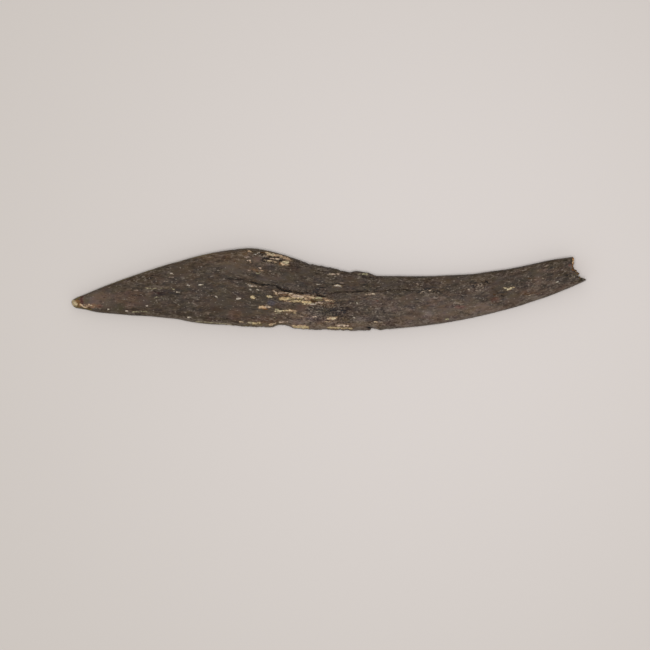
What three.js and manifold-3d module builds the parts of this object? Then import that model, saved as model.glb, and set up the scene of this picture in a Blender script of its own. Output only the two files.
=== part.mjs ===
// A harpoon barb, cut and ground from one piece of bone and found with its stem broken off.
// Lengths are in millimetres. +X runs from the spur tip to the break, +Y is the back with the hump,
// and +Z is the domed outer face. The barb lies on its flat inner face, at z = 0, and the origin is
// on that face, under the middle of the barb's box.
import * as THREE from "three";
import { mergeVertices } from "three/addons/utils/BufferGeometryUtils.js";
import Module from "manifold-3d";

// Lengths along the barb, end to end from the spur tip to the tip of the longest splinter.
const SPUR_LENGTH = 45.1; // tip to the crest of the hump
const SHOULDER_LENGTH = 37.9; // crest of the hump to the hollow of the back
const STEM_LENGTH = 43.7; // hollow of the back to the break
const SPLINTER_LENGTH = 3.3; // how far the longest splinter stands past the break
const NIB_LENGTH = 1.5; // the rounded end of the spur

// Widths across the barb.
const NIB_WIDTH = 2.0;
const SPUR_WIDTH = 19.8; // at the hump
const STEM_WIDTH = 13.1; // at the hollow
const BREAK_WIDTH = 7.4;

// How far the middle of the width lies above the middle of the nib.
const NOSE_RISE = 0.45; // the very end of the spur
const HUMP_RISE = 4.04;
const HOLLOW_RISE = 0.35;
const BREAK_RISE = 8.1;

// Thicknesses, from the inner face to the top of the dome.
const NIB_THICKNESS = 1.9;
const SPUR_THICKNESS = 6.2;
const STEM_THICKNESS = 5.4;
const BREAK_THICKNESS = 3.9;

// The cross-section.
const EDGE_SHARE = 0.3; // height of the widest line, as a share of the thickness
const FACE_SINK = 0.8; // how much of the rounded inner face is ground off flat
const DOME_POWER = 4.0; // superellipse powers: 2 is an ellipse, and more is squarer
const FACE_POWER = 4.0;

// The barb is bowed a little, so both ends clear the surface that it lies on.
const TIP_LIFT = 0.5;
const TIP_BOW_LENGTH = 26.0;
const STEM_LIFT = 1.1;
const STEM_BOW_LENGTH = 38.0;

// The seat of the lashing: the stem is cut down a little on both edges, and a lip is left before it.
const LIP_HEIGHT = 0.7; // on the back, next to the seat
const LIP_LENGTH = 7.5;
const LIP_RISE_LENGTH = 2.3; // over which it comes up from the shoulder
const LIP_END_LENGTH = 3.0; // over which it falls away to the seat
const STEP_DEPTH = 0.55; // on the lower edge, under the lip
const STEP_LENGTH = 2.6;
const STEP_FACE_LENGTH = 0.4;

// A bite that was lost from the lower edge.
const BITE_DEPTH = 0.75;
const BITE_LENGTH = 5.2;

// The long weathering crack, along the grain of the outer face.
const CRACK_WIDTH = 0.4;
const CRACK_DEPTH = 0.75;

// Hollows where the dark skin has flaked off the outer face.
const BAND_HOLLOW = { length: 15.2, width: 3.0, depth: 0.45 };
const HUMP_HOLLOW = { length: 7.4, width: 2.0, depth: 0.4 };
const MIDDLE_HOLLOW = { length: 5.4, width: 1.4, depth: 0.3 };
const SIDE_HOLLOW = { length: 5.8, width: 2.4, depth: 0.35 };
const BACK_HOLLOW = { length: 3.2, width: 1.2, depth: 0.3 };
const BELLY_HOLLOW = { length: 7.2, width: 1.3, depth: 0.35 };

// The break slants: its foot stands out past its top.
const BREAK_SLANT = 0.55;

const LENGTH = SPUR_LENGTH + SHOULDER_LENGTH + STEM_LENGTH + SPLINTER_LENGTH;
const HOLLOW_AT = SPUR_LENGTH + SHOULDER_LENGTH;
const BREAK_AT = HOLLOW_AT + STEM_LENGTH;

// Counts, which set how fine the surface is.
const STATIONS = 128;
const NIB_STATIONS = 5;
const FACE_POINTS = 14; // from edge to edge of the outer face, and of the inner face
const SCOOP_SIDES = 18;
const SCOOP_ROWS = 10;

// Shapes along each stretch: pairs of a share of the stretch's length, and a share of the way from
// the size at its start to the size at its end.
const SPUR_WIDTH_SHARES = [
  [0.07, 0.09], [0.14, 0.205], [0.22, 0.305], [0.33, 0.43], [0.44, 0.54], [0.55, 0.655],
  [0.6, 0.7], [0.67, 0.79], [0.78, 0.89], [0.89, 0.95], [1, 1],
];
const SPUR_RISE_SHARES = [
  [0.07, 0.09], [0.14, 0.17], [0.22, 0.305], [0.33, 0.475], [0.44, 0.64], [0.55, 0.78],
  [0.6, 0.815], [0.67, 0.845], [0.78, 0.925], [0.89, 0.99], [1, 1],
];
const SHOULDER_WIDTH_SHARES = [
  [0.13, 0.085], [0.27, 0.28], [0.4, 0.485], [0.53, 0.62], [0.67, 0.78], [0.8, 0.9], [1, 1],
];
const SHOULDER_RISE_SHARES = [
  [0.13, 0.115], [0.27, 0.345], [0.4, 0.615], [0.53, 0.77], [0.67, 0.965], [0.8, 1.045], [1, 1],
];
const STEM_WIDTH_SHARES = [
  [0.17, 0.14], [0.29, 0.23], [0.41, 0.36], [0.52, 0.44], [0.64, 0.545], [0.75, 0.625],
  [0.87, 0.745], [1, 1], [1.075, 1.13],
];
const STEM_RISE_SHARES = [
  [0.17, 0.05], [0.29, 0.115], [0.41, 0.2], [0.52, 0.31], [0.64, 0.445], [0.75, 0.605],
  [0.87, 0.795], [1, 1], [1.075, 1.15],
];
const SPUR_THICKNESS_SHARES = [
  [0.1, 0.24], [0.3, 0.56], [0.6, 0.86], [1, 1],
];
const EVEN_SHARES = [
  [0.5, 0.5], [1, 1],
];

// How far each fibre stands past the break, as a share of the splinter's length, from the lower edge
// of the barb, at -1, to the back, at 1.
const FIBRE_END_SHARES = [
  [-1, 1], [-0.8, 0.79], [-0.64, 0.54], [-0.43, 0.3], [-0.32, 0.43], [-0.2, 0.36],
  [0, 0.17], [0.12, 0.02], [0.3, -0.03], [0.6, 0.02], [0.85, 0.03], [1, -0.03],
];

// Places on the outer face: a share of the barb's length, and a share of the half width, from the
// lower edge, at -1, to the back, at 1.
const CRACK_PLACE_SHARES = [
  [0.3, 0.24], [0.347, 0.155], [0.386, 0.085], [0.411, 0.045], [0.444, 0.09], [0.502, 0.22],
  [0.58, 0.46], [0.638, 0.48], [0.716, 0.34],
];
const HOLLOWS = [
  { ...BAND_HOLLOW, alongShare: 0.454, acrossShare: -0.07 },
  { ...HUMP_HOLLOW, alongShare: 0.398, acrossShare: 0.84 },
  { ...MIDDLE_HOLLOW, alongShare: 0.417, acrossShare: -0.55 },
  { ...SIDE_HOLLOW, alongShare: 0.518, acrossShare: -0.76 },
  { ...BACK_HOLLOW, alongShare: 0.517, acrossShare: 0.47 },
  { ...BELLY_HOLLOW, alongShare: 0.357, acrossShare: -0.87 },
];
const LIP_SHARE = 0.852; // the end of the lip, as a share of the shoulder's length
const STEP_SHARE = 0.8; // the start of the step on the lower edge, likewise
const BITE_SHARE = 0.22; // the middle of the bite, likewise
const CRACK_FADE_SHARE = 0.3; // how much of the crack each end takes to open
const CRACK_END_SHARE = 0.1; // how open the crack is at its ends

const BONE = new THREE.MeshStandardMaterial({ color: 0x51463d, roughness: 0.62, metalness: 0 });

// One stretch of a profile: its points in millimetres along the barb.
function stretch(start, length, from, to, shares) {
  return shares.map(([along, way]) => [start + along * length, from + way * (to - from)]);
}

// A smooth curve through points sorted along the barb, read at one place.
function readCurve(points, x) {
  let next = points.findIndex(([at]) => at > x);
  if (next < 0) next = points.length - 1;
  const i = Math.max(next - 1, 0);
  const point = (n) => points[THREE.MathUtils.clamp(n, 0, points.length - 1)];
  const slope = (n) => {
    const [before, after] = [point(n - 1), point(n + 1)];
    return (after[1] - before[1]) / (after[0] - before[0]);
  };
  const [[x0, y0], [x1, y1]] = [point(i), point(i + 1)];
  if (x1 === x0) return y0;
  const step = x1 - x0;
  const t = THREE.MathUtils.clamp((x - x0) / step, 0, 1);
  const [t2, t3] = [t * t, t * t * t];
  const ends = y0 * (2 * t3 - 3 * t2 + 1) + y1 * (3 * t2 - 2 * t3);
  return ends + step * (slope(i) * (t3 - 2 * t2 + t) + slope(i + 1) * (t3 - t2));
}

const WIDTHS = [
  [0, NIB_WIDTH],
  ...stretch(0, SPUR_LENGTH, NIB_WIDTH, SPUR_WIDTH, SPUR_WIDTH_SHARES),
  ...stretch(SPUR_LENGTH, SHOULDER_LENGTH, SPUR_WIDTH, STEM_WIDTH, SHOULDER_WIDTH_SHARES),
  ...stretch(HOLLOW_AT, STEM_LENGTH, STEM_WIDTH, BREAK_WIDTH, STEM_WIDTH_SHARES),
];
const RISES = [
  [0, 0],
  ...stretch(0, SPUR_LENGTH, 0, HUMP_RISE, SPUR_RISE_SHARES),
  ...stretch(SPUR_LENGTH, SHOULDER_LENGTH, HUMP_RISE, HOLLOW_RISE, SHOULDER_RISE_SHARES),
  ...stretch(HOLLOW_AT, STEM_LENGTH, HOLLOW_RISE, BREAK_RISE, STEM_RISE_SHARES),
];
const THICKNESSES = [
  [0, NIB_THICKNESS],
  ...stretch(0, SPUR_LENGTH, NIB_THICKNESS, SPUR_THICKNESS, SPUR_THICKNESS_SHARES),
  ...stretch(SPUR_LENGTH, SHOULDER_LENGTH, SPUR_THICKNESS, STEM_THICKNESS, EVEN_SHARES),
  ...stretch(HOLLOW_AT, STEM_LENGTH, STEM_THICKNESS, BREAK_THICKNESS, EVEN_SHARES),
];

// 0 before the stretch, 1 past it, and smooth between.
const ease = (x, from, to) => THREE.MathUtils.smoothstep(x, from, to);

// How much of its full width and thickness the barb has at x: all of it past the rounded nib.
const nibShare = (x) => Math.sqrt(Math.max(0, 1 - (1 - Math.min(x / NIB_LENGTH, 1)) ** 2));

// How far the bowed barb stands off the surface at x.
function liftAt(x) {
  const tip = Math.max(0, 1 - x / TIP_BOW_LENGTH);
  const stem = Math.max(0, 1 - (LENGTH - x) / STEM_BOW_LENGTH);
  return TIP_LIFT * tip ** 2 + STEM_LIFT * stem ** 2;
}

// The back and the lower edge at x, with the lip, the step and the bite.
function edgesAt(x) {
  const middle = readCurve(RISES, x);
  const half = readCurve(WIDTHS, x) / 2;
  const lipEnd = SPUR_LENGTH + LIP_SHARE * SHOULDER_LENGTH;
  const lipStart = lipEnd - LIP_LENGTH;
  const lip = ease(x, lipStart, lipStart + LIP_RISE_LENGTH) * (1 - ease(x, lipEnd - LIP_END_LENGTH, lipEnd));
  const stepAt = SPUR_LENGTH + STEP_SHARE * SHOULDER_LENGTH;
  const step = ease(x, stepAt, stepAt + STEP_FACE_LENGTH) * (1 - ease(x, stepAt, stepAt + STEP_LENGTH));
  const biteAt = SPUR_LENGTH + BITE_SHARE * SHOULDER_LENGTH;
  const bite = Math.max(0, 1 - ((2 * (x - biteAt)) / BITE_LENGTH) ** 2);
  const back = middle + THREE.MathUtils.lerp(NOSE_RISE, half, nibShare(x)) + LIP_HEIGHT * lip;
  const belly = middle + THREE.MathUtils.lerp(NOSE_RISE, -half, nibShare(x)) + STEP_DEPTH * step;
  return { back, belly: belly + BITE_DEPTH * bite };
}

// A point on the section at x: across runs from -1 to 1 between the edges, over the dome or under.
function onSection(x, across, over) {
  const { back, belly } = edgesAt(x);
  const thickness = readCurve(THICKNESSES, x) * nibShare(x);
  const edge = EDGE_SHARE * thickness;
  const power = over ? DOME_POWER : FACE_POWER;
  const bulge = Math.max(0, 1 - Math.abs(across) ** power) ** (1 / power);
  const under = Math.max(0, edge - (edge + FACE_SINK * nibShare(x)) * bulge);
  const z = liftAt(x) + (over ? edge + (thickness - edge) * bulge : under);
  return new THREE.Vector3(x, (back + belly) / 2 + (across * (back - belly)) / 2, z);
}

// Where the fibre at this place across the barb ends, at the break.
function fibreEnd(across) {
  const i = Math.max(FIBRE_END_SHARES.findIndex(([at]) => at >= across), 1);
  const [[a0, e0], [a1, e1]] = [FIBRE_END_SHARES[i - 1], FIBRE_END_SHARES[i]];
  const way = (across - a0) / (a1 - a0);
  return BREAK_AT + SPLINTER_LENGTH * (e0 + way * (e1 - e0));
}

// Places across a face, close together at its edges.
const spread = (points) =>
  Array.from({ length: points }, (_, i) => -Math.cos((Math.PI * i) / (points - 1)));

// Stations along the barb: close together in the nib, and then even, up to the break.
function stations() {
  const inNib = Array.from({ length: NIB_STATIONS }, (_, i) => ((i + 1) / NIB_STATIONS) ** 2);
  const rest = STATIONS - NIB_STATIONS;
  const pastNib = Array.from({ length: rest }, (_, i) => (i + 1) / rest);
  return [
    ...inNib.map((share) => share * NIB_LENGTH),
    ...pastNib.map((share) => NIB_LENGTH + share * (BREAK_AT - NIB_LENGTH)),
  ];
}

// A ring of the section. The last rings spread lengthways, so that each fibre ends where it broke.
function ringAt(station) {
  const late = ease(station, BREAK_AT - SPLINTER_LENGTH * 2, BREAK_AT);
  const ringPoint = (across, over) => {
    const slant = over ? -BREAK_SLANT / 2 : BREAK_SLANT / 2;
    const end = fibreEnd(across) - BREAK_AT + slant * (1 - Math.abs(across));
    return onSection(station + late * end, across, over);
  };
  const over = spread(FACE_POINTS).map((across) => ringPoint(across, true));
  const under = spread(FACE_POINTS).slice(1, -1).reverse();
  return [...over, ...under.map((across) => ringPoint(across, false))];
}

// The triangles that shut a ring of points, from one side of it to the other.
function shutRing(start, count, forwards) {
  const index = [];
  const face = (...corners) => {
    const used = [...new Set(corners)].map((corner) => start + corner);
    if (used.length === 3) index.push(...(forwards ? used : used.reverse()));
  };
  for (let near = 0; near < count / 2; near++) {
    const [far, farNext] = [(count - near) % count, (count - near - 1) % count];
    face(near, near + 1, farNext);
    face(near, farNext, far);
  }
  return index;
}

// A closed solid through rings of the same count, which starts at a nose, if it has one.
function loft(rings, nose) {
  const count = rings[0].length;
  const points = rings.flat();
  const index = shutRing(points.length - count, count, false);
  for (let j = 0; j < count; j++) {
    const k = (j + 1) % count;
    if (nose) index.push(points.length, j, k);
    for (let a = 0; a + count < points.length; a += count) {
      const b = a + count;
      index.push(a + j, b + j, b + k, a + j, b + k, a + k);
    }
  }
  if (nose) points.push(nose);
  else index.push(...shutRing(0, count, true));
  return new THREE.BufferGeometry().setFromPoints(points).setIndex(index);
}

// The whole barb before anything has flaked or cracked.
const blankGeometry = () => loft(stations().map(ringAt), onSection(0, 0, true));

// A scoop that takes a hollow out of the outer face, down to its depth.
function hollowGeometry({ length, width, depth, alongShare, acrossShare }) {
  const at = onSection(alongShare * LENGTH, acrossShare, true);
  const ahead = onSection(alongShare * LENGTH + length / 2, acrossShare, true);
  const run = new THREE.Vector3().subVectors(ahead, at).normalize();
  const turn = new THREE.Quaternion().setFromUnitVectors(new THREE.Vector3(1, 0, 0), run);
  return new THREE.SphereGeometry(length / 2, SCOOP_SIDES, SCOOP_ROWS)
    .scale(1, width / length, (2 * depth) / length)
    .applyQuaternion(turn)
    .translate(at.x, at.y, at.z);
}

// A wedge that opens the crack. It is widest and deepest in the middle of its run, and it goes on as
// far above the surface as below it, so at its top it is twice as wide as the crack.
function crackGeometry() {
  const rings = CRACK_PLACE_SHARES.flatMap(([along, across], i) => {
    const next = CRACK_PLACE_SHARES[i + 1];
    const half = next && [(along + next[0]) / 2, (across + next[1]) / 2];
    return half ? [[along, across], half] : [[along, across]];
  }).map(([along, across], i, all) => {
    const way = i / (all.length - 1);
    const fade = ease(Math.min(way, 1 - way), 0, CRACK_FADE_SHARE);
    const open = CRACK_END_SHARE + (1 - CRACK_END_SHARE) * fade;
    const at = onSection(along * LENGTH, across, true);
    const corner = (dy, dz) => new THREE.Vector3(at.x, at.y + dy * open, at.z + dz * open);
    const foot = corner(0, -CRACK_DEPTH);
    return [foot, corner(-CRACK_WIDTH, CRACK_DEPTH), corner(CRACK_WIDTH, CRACK_DEPTH)];
  });
  return loft(rings);
}

const wasm = await Module();
wasm.setup();

function toSolid(geometry) {
  const bare = geometry.clone();
  bare.deleteAttribute("normal");
  bare.deleteAttribute("uv");
  const merged = mergeVertices(bare);
  return new wasm.Manifold(
    new wasm.Mesh({
      numProp: 3,
      vertProperties: merged.attributes.position.array,
      triVerts: new Uint32Array(merged.index.array),
    }),
  );
}

function toGeometry(solid) {
  const { vertProperties, triVerts } = solid.getMesh();
  const geometry = new THREE.BufferGeometry()
    .setAttribute("position", new THREE.BufferAttribute(vertProperties, 3))
    .setIndex(new THREE.BufferAttribute(triVerts, 1));
  geometry.computeVertexNormals();
  return geometry;
}

// The barb, with the origin on its inner face under the middle of its box.
function makeBarb() {
  const cuts = [crackGeometry(), ...HOLLOWS.map(hollowGeometry)];
  const solid = cuts.reduce((left, cut) => left.subtract(toSolid(cut)), toSolid(blankGeometry()));
  const barb = new THREE.Mesh(toGeometry(solid), BONE);
  barb.name = "barb";
  barb.geometry.computeBoundingBox();
  const middle = barb.geometry.boundingBox.getCenter(new THREE.Vector3());
  barb.position.set(-middle.x, -middle.y, 0);
  return barb;
}

const harpoonBarb = new THREE.Group();
harpoonBarb.name = "harpoon_barb";
harpoonBarb.add(makeBarb());

export default harpoonBarb;
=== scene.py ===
import math
from types import SimpleNamespace

import bpy
import numpy as np
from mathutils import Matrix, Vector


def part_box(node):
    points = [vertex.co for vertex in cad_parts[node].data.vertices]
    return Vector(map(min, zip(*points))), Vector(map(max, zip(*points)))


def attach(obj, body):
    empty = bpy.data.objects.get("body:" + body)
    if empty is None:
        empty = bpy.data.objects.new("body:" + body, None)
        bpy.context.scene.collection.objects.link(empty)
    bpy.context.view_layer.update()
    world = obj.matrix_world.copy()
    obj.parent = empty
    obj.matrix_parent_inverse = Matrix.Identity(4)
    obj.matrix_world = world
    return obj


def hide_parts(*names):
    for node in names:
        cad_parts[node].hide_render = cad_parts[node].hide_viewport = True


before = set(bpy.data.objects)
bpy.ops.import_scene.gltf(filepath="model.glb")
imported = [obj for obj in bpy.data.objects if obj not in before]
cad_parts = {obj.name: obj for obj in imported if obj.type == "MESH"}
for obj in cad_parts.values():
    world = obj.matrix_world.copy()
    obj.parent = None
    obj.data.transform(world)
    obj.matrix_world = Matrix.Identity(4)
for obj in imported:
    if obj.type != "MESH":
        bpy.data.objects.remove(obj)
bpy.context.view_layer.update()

# A harpoon barb of dark, weathered bone. Its skin, the long crack, the flaked patches and the ragged
# break are made here as one fine closed mesh, on the same profiles as the frame's solid.
# Lengths are in millimetres until the mesh is written, and MM turns them into metres.
MM = 0.001

# The profiles of the barb: the same sizes as the frame's solid has.
SPUR_LENGTH = 45.1
SHOULDER_LENGTH = 37.9
STEM_LENGTH = 43.7
SPLINTER_LENGTH = 3.3
NIB_LENGTH = 1.5
NIB_WIDTH = 2.0
SPUR_WIDTH = 19.8
STEM_WIDTH = 13.1
BREAK_WIDTH = 7.4
NOSE_RISE = 0.45
HUMP_RISE = 4.04
HOLLOW_RISE = 0.35
BREAK_RISE = 8.1
NIB_THICKNESS = 1.9
SPUR_THICKNESS = 6.2
STEM_THICKNESS = 5.4
BREAK_THICKNESS = 3.9
EDGE_SHARE = 0.3
FACE_SINK = 0.8
DOME_POWER = 4.0
FACE_POWER = 4.0
TIP_LIFT = 0.5
TIP_BOW_LENGTH = 26.0
STEM_LIFT = 1.1
STEM_BOW_LENGTH = 38.0
LIP_HEIGHT = 0.7
LIP_LENGTH = 7.5
LIP_RISE_LENGTH = 2.3
LIP_END_LENGTH = 3.0
LIP_SHARE = 0.852
STEP_DEPTH = 0.55
STEP_LENGTH = 2.6
STEP_FACE_LENGTH = 0.4
STEP_SHARE = 0.8
BITE_DEPTH = 0.75
BITE_LENGTH = 5.2
BITE_SHARE = 0.22
BREAK_SLANT = 0.55

HOLLOW_AT = SPUR_LENGTH + SHOULDER_LENGTH
BREAK_AT = HOLLOW_AT + STEM_LENGTH
LENGTH = BREAK_AT + SPLINTER_LENGTH

# Pairs of a share of a stretch's length, and a share of the way from its first size to its last.
SPUR_WIDTH_SHARES = [
    (0.07, 0.09), (0.14, 0.205), (0.22, 0.305), (0.33, 0.43), (0.44, 0.54), (0.55, 0.655),
    (0.6, 0.7), (0.67, 0.79), (0.78, 0.89), (0.89, 0.95), (1, 1),
]
SPUR_RISE_SHARES = [
    (0.07, 0.09), (0.14, 0.17), (0.22, 0.305), (0.33, 0.475), (0.44, 0.64), (0.55, 0.78),
    (0.6, 0.815), (0.67, 0.845), (0.78, 0.925), (0.89, 0.99), (1, 1),
]
SHOULDER_WIDTH_SHARES = [
    (0.13, 0.085), (0.27, 0.28), (0.4, 0.485), (0.53, 0.62), (0.67, 0.78), (0.8, 0.9), (1, 1),
]
SHOULDER_RISE_SHARES = [
    (0.13, 0.115), (0.27, 0.345), (0.4, 0.615), (0.53, 0.77), (0.67, 0.965), (0.8, 1.045), (1, 1),
]
STEM_WIDTH_SHARES = [
    (0.17, 0.14), (0.29, 0.23), (0.41, 0.36), (0.52, 0.44), (0.64, 0.545), (0.75, 0.625),
    (0.87, 0.745), (1, 1), (1.075, 1.13),
]
STEM_RISE_SHARES = [
    (0.17, 0.05), (0.29, 0.115), (0.41, 0.2), (0.52, 0.31), (0.64, 0.445), (0.75, 0.605),
    (0.87, 0.795), (1, 1), (1.075, 1.15),
]
SPUR_THICKNESS_SHARES = [(0.1, 0.24), (0.3, 0.56), (0.6, 0.86), (1, 1)]
EVEN_SHARES = [(0.5, 0.5), (1, 1)]

# How far each fibre stands past the break, as a share of the splinter's length, across the barb.
FIBRE_END_SHARES = [
    (-1, 1), (-0.8, 0.79), (-0.64, 0.54), (-0.43, 0.3), (-0.32, 0.43), (-0.2, 0.36),
    (0, 0.17), (0.12, 0.02), (0.3, -0.03), (0.6, 0.02), (0.85, 0.03), (1, -0.03),
]

# The tear of the fibres' ends. Each row: waves across the section, waves over its height, how far
# they reach in millimetres, and the seed.
TEAR_WAVES = [(7, 2.4, 0.22, 301), (19, 6.0, 0.16, 302), (44, 14.0, 0.1, 303)]
HEART_AT = 0.5  # the middle of the broken end, as a share of the section's height

# The photograph's frame, in its own pixels. The marks below are placed in it.
PHOTO_SIZE = 650
PHOTO_TIP_X = 71.2
PHOTO_END_X = 586.2
PHOTO_BASE_Y = 303.54  # the row that the rises are measured from
PIXEL = LENGTH / (PHOTO_END_X - PHOTO_TIP_X)

# The mesh's fineness: stations along the barb, points round it, and rings over the broken end.
STATIONS = 550
NIB_STATIONS = 14
TOP_POINTS = 122
UNDER_POINTS = 44
END_RINGS = 18
DENSE = 400
END_STRIP = 0.045
UV_MARGIN_ALONG = 0.004
UV_MARGIN_ROUND = 0.003

# The noises of the skin's relief. Each row: waves in a millimetre along the grain and across it, seed
# and layers.
RELIEF_NOISES = {
    "fibres": (0.25, 1.9, 31, 3),
    "threads": (0.6, 4.5, 32, 2),
    "swell": (0.09, 0.3, 33, 3),
    "holes": (1.5, 1.7, 35, 2),
    "scrapes": (0.05, 3.2, 36, 2),
}
GRIT_NOISE = (1.5, 1.7, 34, 3)

# How far each kind of relief reaches, in millimetres.
FIBRE_RELIEF = 0.05
BODY_FIBRE_RELIEF = 0.05  # added where the body is
THREAD_RELIEF = 0.02
SWELL_RELIEF = 0.07
GRIT_RELIEF = 0.03
STEM_GRIT_RELIEF = 0.03  # added where the stem is
CRACK_DEPTH = 0.75
CRUMBLE_RELIEF = 0.28
LOW_EDGE_RELIEF = 0.2
PORE_DEPTH = 0.16
SCRAPE_RELIEF = 0.03

# Zones along the barb, in pixels: where each starts, is full, starts to fade and ends.
BODY_ZONE = (225, 260, 350, 400)
CRUMBLE_ZONE = (300, 308, 340, 348)
LOW_EDGE_ZONE = (205, 235, 385, 400)
HIGH_RIM_ZONE = (85, 110, 282, 296)
LOW_RIM_ZONE = (165, 185, 284, 292)


def srgb(red, green, blue):
    """A colour as it is seen, from 0 to 255, as the shader wants it."""
    def linear(c):
        c = c / 255
        return c / 12.92 if c <= 0.04045 else ((c + 0.055) / 1.055) ** 2.4
    return (linear(red), linear(green), linear(blue))


# Colours of the marks: pale bone where the dark skin is gone, and the darker tints round it.
YELLOW = srgb(202, 180, 138)
TAN = srgb(196, 168, 138)
PINK = srgb(198, 176, 158)
GREY = srgb(178, 170, 158)
CREAM = srgb(212, 198, 164)
WARM = srgb(202, 168, 132)
PALE = srgb(196, 186, 174)
PALE_OLIVE = srgb(168, 162, 130)
DUSKY = srgb(150, 132, 120)
TAWNY = srgb(124, 94, 70)
BROWN = srgb(122, 98, 74)
WEDGE_BROWN = srgb(124, 92, 60)
FRINGE = srgb(124, 104, 80)
FRINGE_DARK = srgb(76, 56, 36)
OLIVE = srgb(112, 99, 66)
MOSS = srgb(60, 62, 48)
RUST = srgb(118, 76, 38)
RED = srgb(92, 58, 47)
WINE = srgb(92, 63, 58)
PURPLE = srgb(42, 35, 36)
BLACK = srgb(24, 18, 14)

# Colours of the dark skin, the olive painted highlight along the rim, the inner face and the torn bone of
# the break.
SKIN = srgb(75, 65, 55)
DARK_SKIN = srgb(54, 45, 34)
OLIVE_RIM_HIGHLIGHT = srgb(102, 89, 60)
SPECK_PALE = srgb(146, 134, 122)
DUST = srgb(132, 121, 110)
INNER_SKIN = srgb(86, 74, 59)
INNER_PALE = srgb(122, 106, 84)
INNER_PORE = srgb(34, 27, 20)
TORN_BROWN = srgb(96, 72, 50)
TORN_ORANGE = srgb(196, 146, 98)
TORN_PALE = srgb(206, 172, 116)

# How three kinds of patches tint the skin.
WHITE = (1.0, 1.0, 1.0)
RED_TINT = (1.08, 0.98, 0.94)
OLIVE_TINT = (0.99, 1.0, 0.92)
COOL_TINT = (0.98, 0.99, 1.12)
SHEEN = 0.012  # the light that the satin surface adds to every colour
DARKEST = 0.003

# Colours of the stains on the skin.
SOOT = srgb(50, 46, 37)
PEAT = srgb(60, 50, 44)
LOAM = srgb(66, 56, 44)
EARTH = srgb(72, 64, 51)
RUSSET = srgb(88, 61, 51)
SLATE = srgb(71, 67, 75)
DUN = srgb(79, 68, 58)
UMBER = srgb(87, 70, 60)
DRAB = srgb(86, 76, 62)
COCOA = srgb(94, 74, 62)
TAUPE = srgb(91, 79, 69)
NUT = srgb(98, 81, 63)
FAWN = srgb(99, 85, 75)
SORREL = srgb(108, 76, 65)
SAND = srgb(109, 89, 70)
STONE = srgb(107, 94, 82)
BUFF = srgb(115, 96, 80)
CHALK = srgb(110, 97, 90)
GINGER = srgb(130, 100, 77)

# The grain of the bone: a line that one long fibre follows, in pixels.
GRAIN_LINE = [
    (60, 284), (150, 281), (229, 280), (260, 285.5), (300, 291), (330, 293), (372, 292), (410, 291),
    (450, 290.5), (490, 288), (530, 281), (573, 269), (600, 260),
]

# The long weathering crack: points of its run and, at each, its half width. Pixels.
CRACK = [
    (227.5, 279.6, 0.1), (229, 279.6, 0.45), (236, 279.5, 0.55), (241, 279.7, 0.5), (244, 280.3, 0.4),
    (248, 281.3, 0.34), (251, 282.1, 0.5), (255, 283.2, 0.65), (258, 284.1, 0.52), (261, 284.6, 0.55),
    (264, 285.0, 0.66), (267, 285.0, 0.55), (269, 284.9, 0.6), (272, 285.1, 0.5), (275, 285.8, 0.5),
    (276.6, 286.8, 0.5), (278, 287.6, 0.7), (279.6, 288.7, 0.5), (281, 289.7, 0.6), (283, 290.6, 0.68),
    (286, 291.3, 0.76), (291, 291.8, 0.7), (295, 292.2, 0.62), (298.5, 292.5, 0.6), (302, 293.2, 0.5),
    (305, 293.4, 0.45), (308, 293.3, 0.45), (312, 293.8, 0.4), (314, 295.0, 0.5), (319, 296.0, 0.6),
    (324, 296.6, 0.6), (327.5, 296.0, 0.3), (329, 293.9, 0.2), (331, 293.4, 0.45), (336, 292.8, 0.4),
    (341, 292.4, 0.45), (345.5, 292.1, 0.3), (347, 292.3, 0.45), (352, 292.2, 0.45), (356, 291.7, 0.45),
    (361, 291.6, 0.5), (371, 291.4, 0.35), (380, 291.6, 0.35), (388, 290.2, 0.35), (396, 289.8, 0.25),
    (404, 289.4, 0.35), (412, 290.4, 0.3), (420, 290.2, 0.15), (430, 291.2, 0.25), (445, 292.2, 0.1),
]
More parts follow.
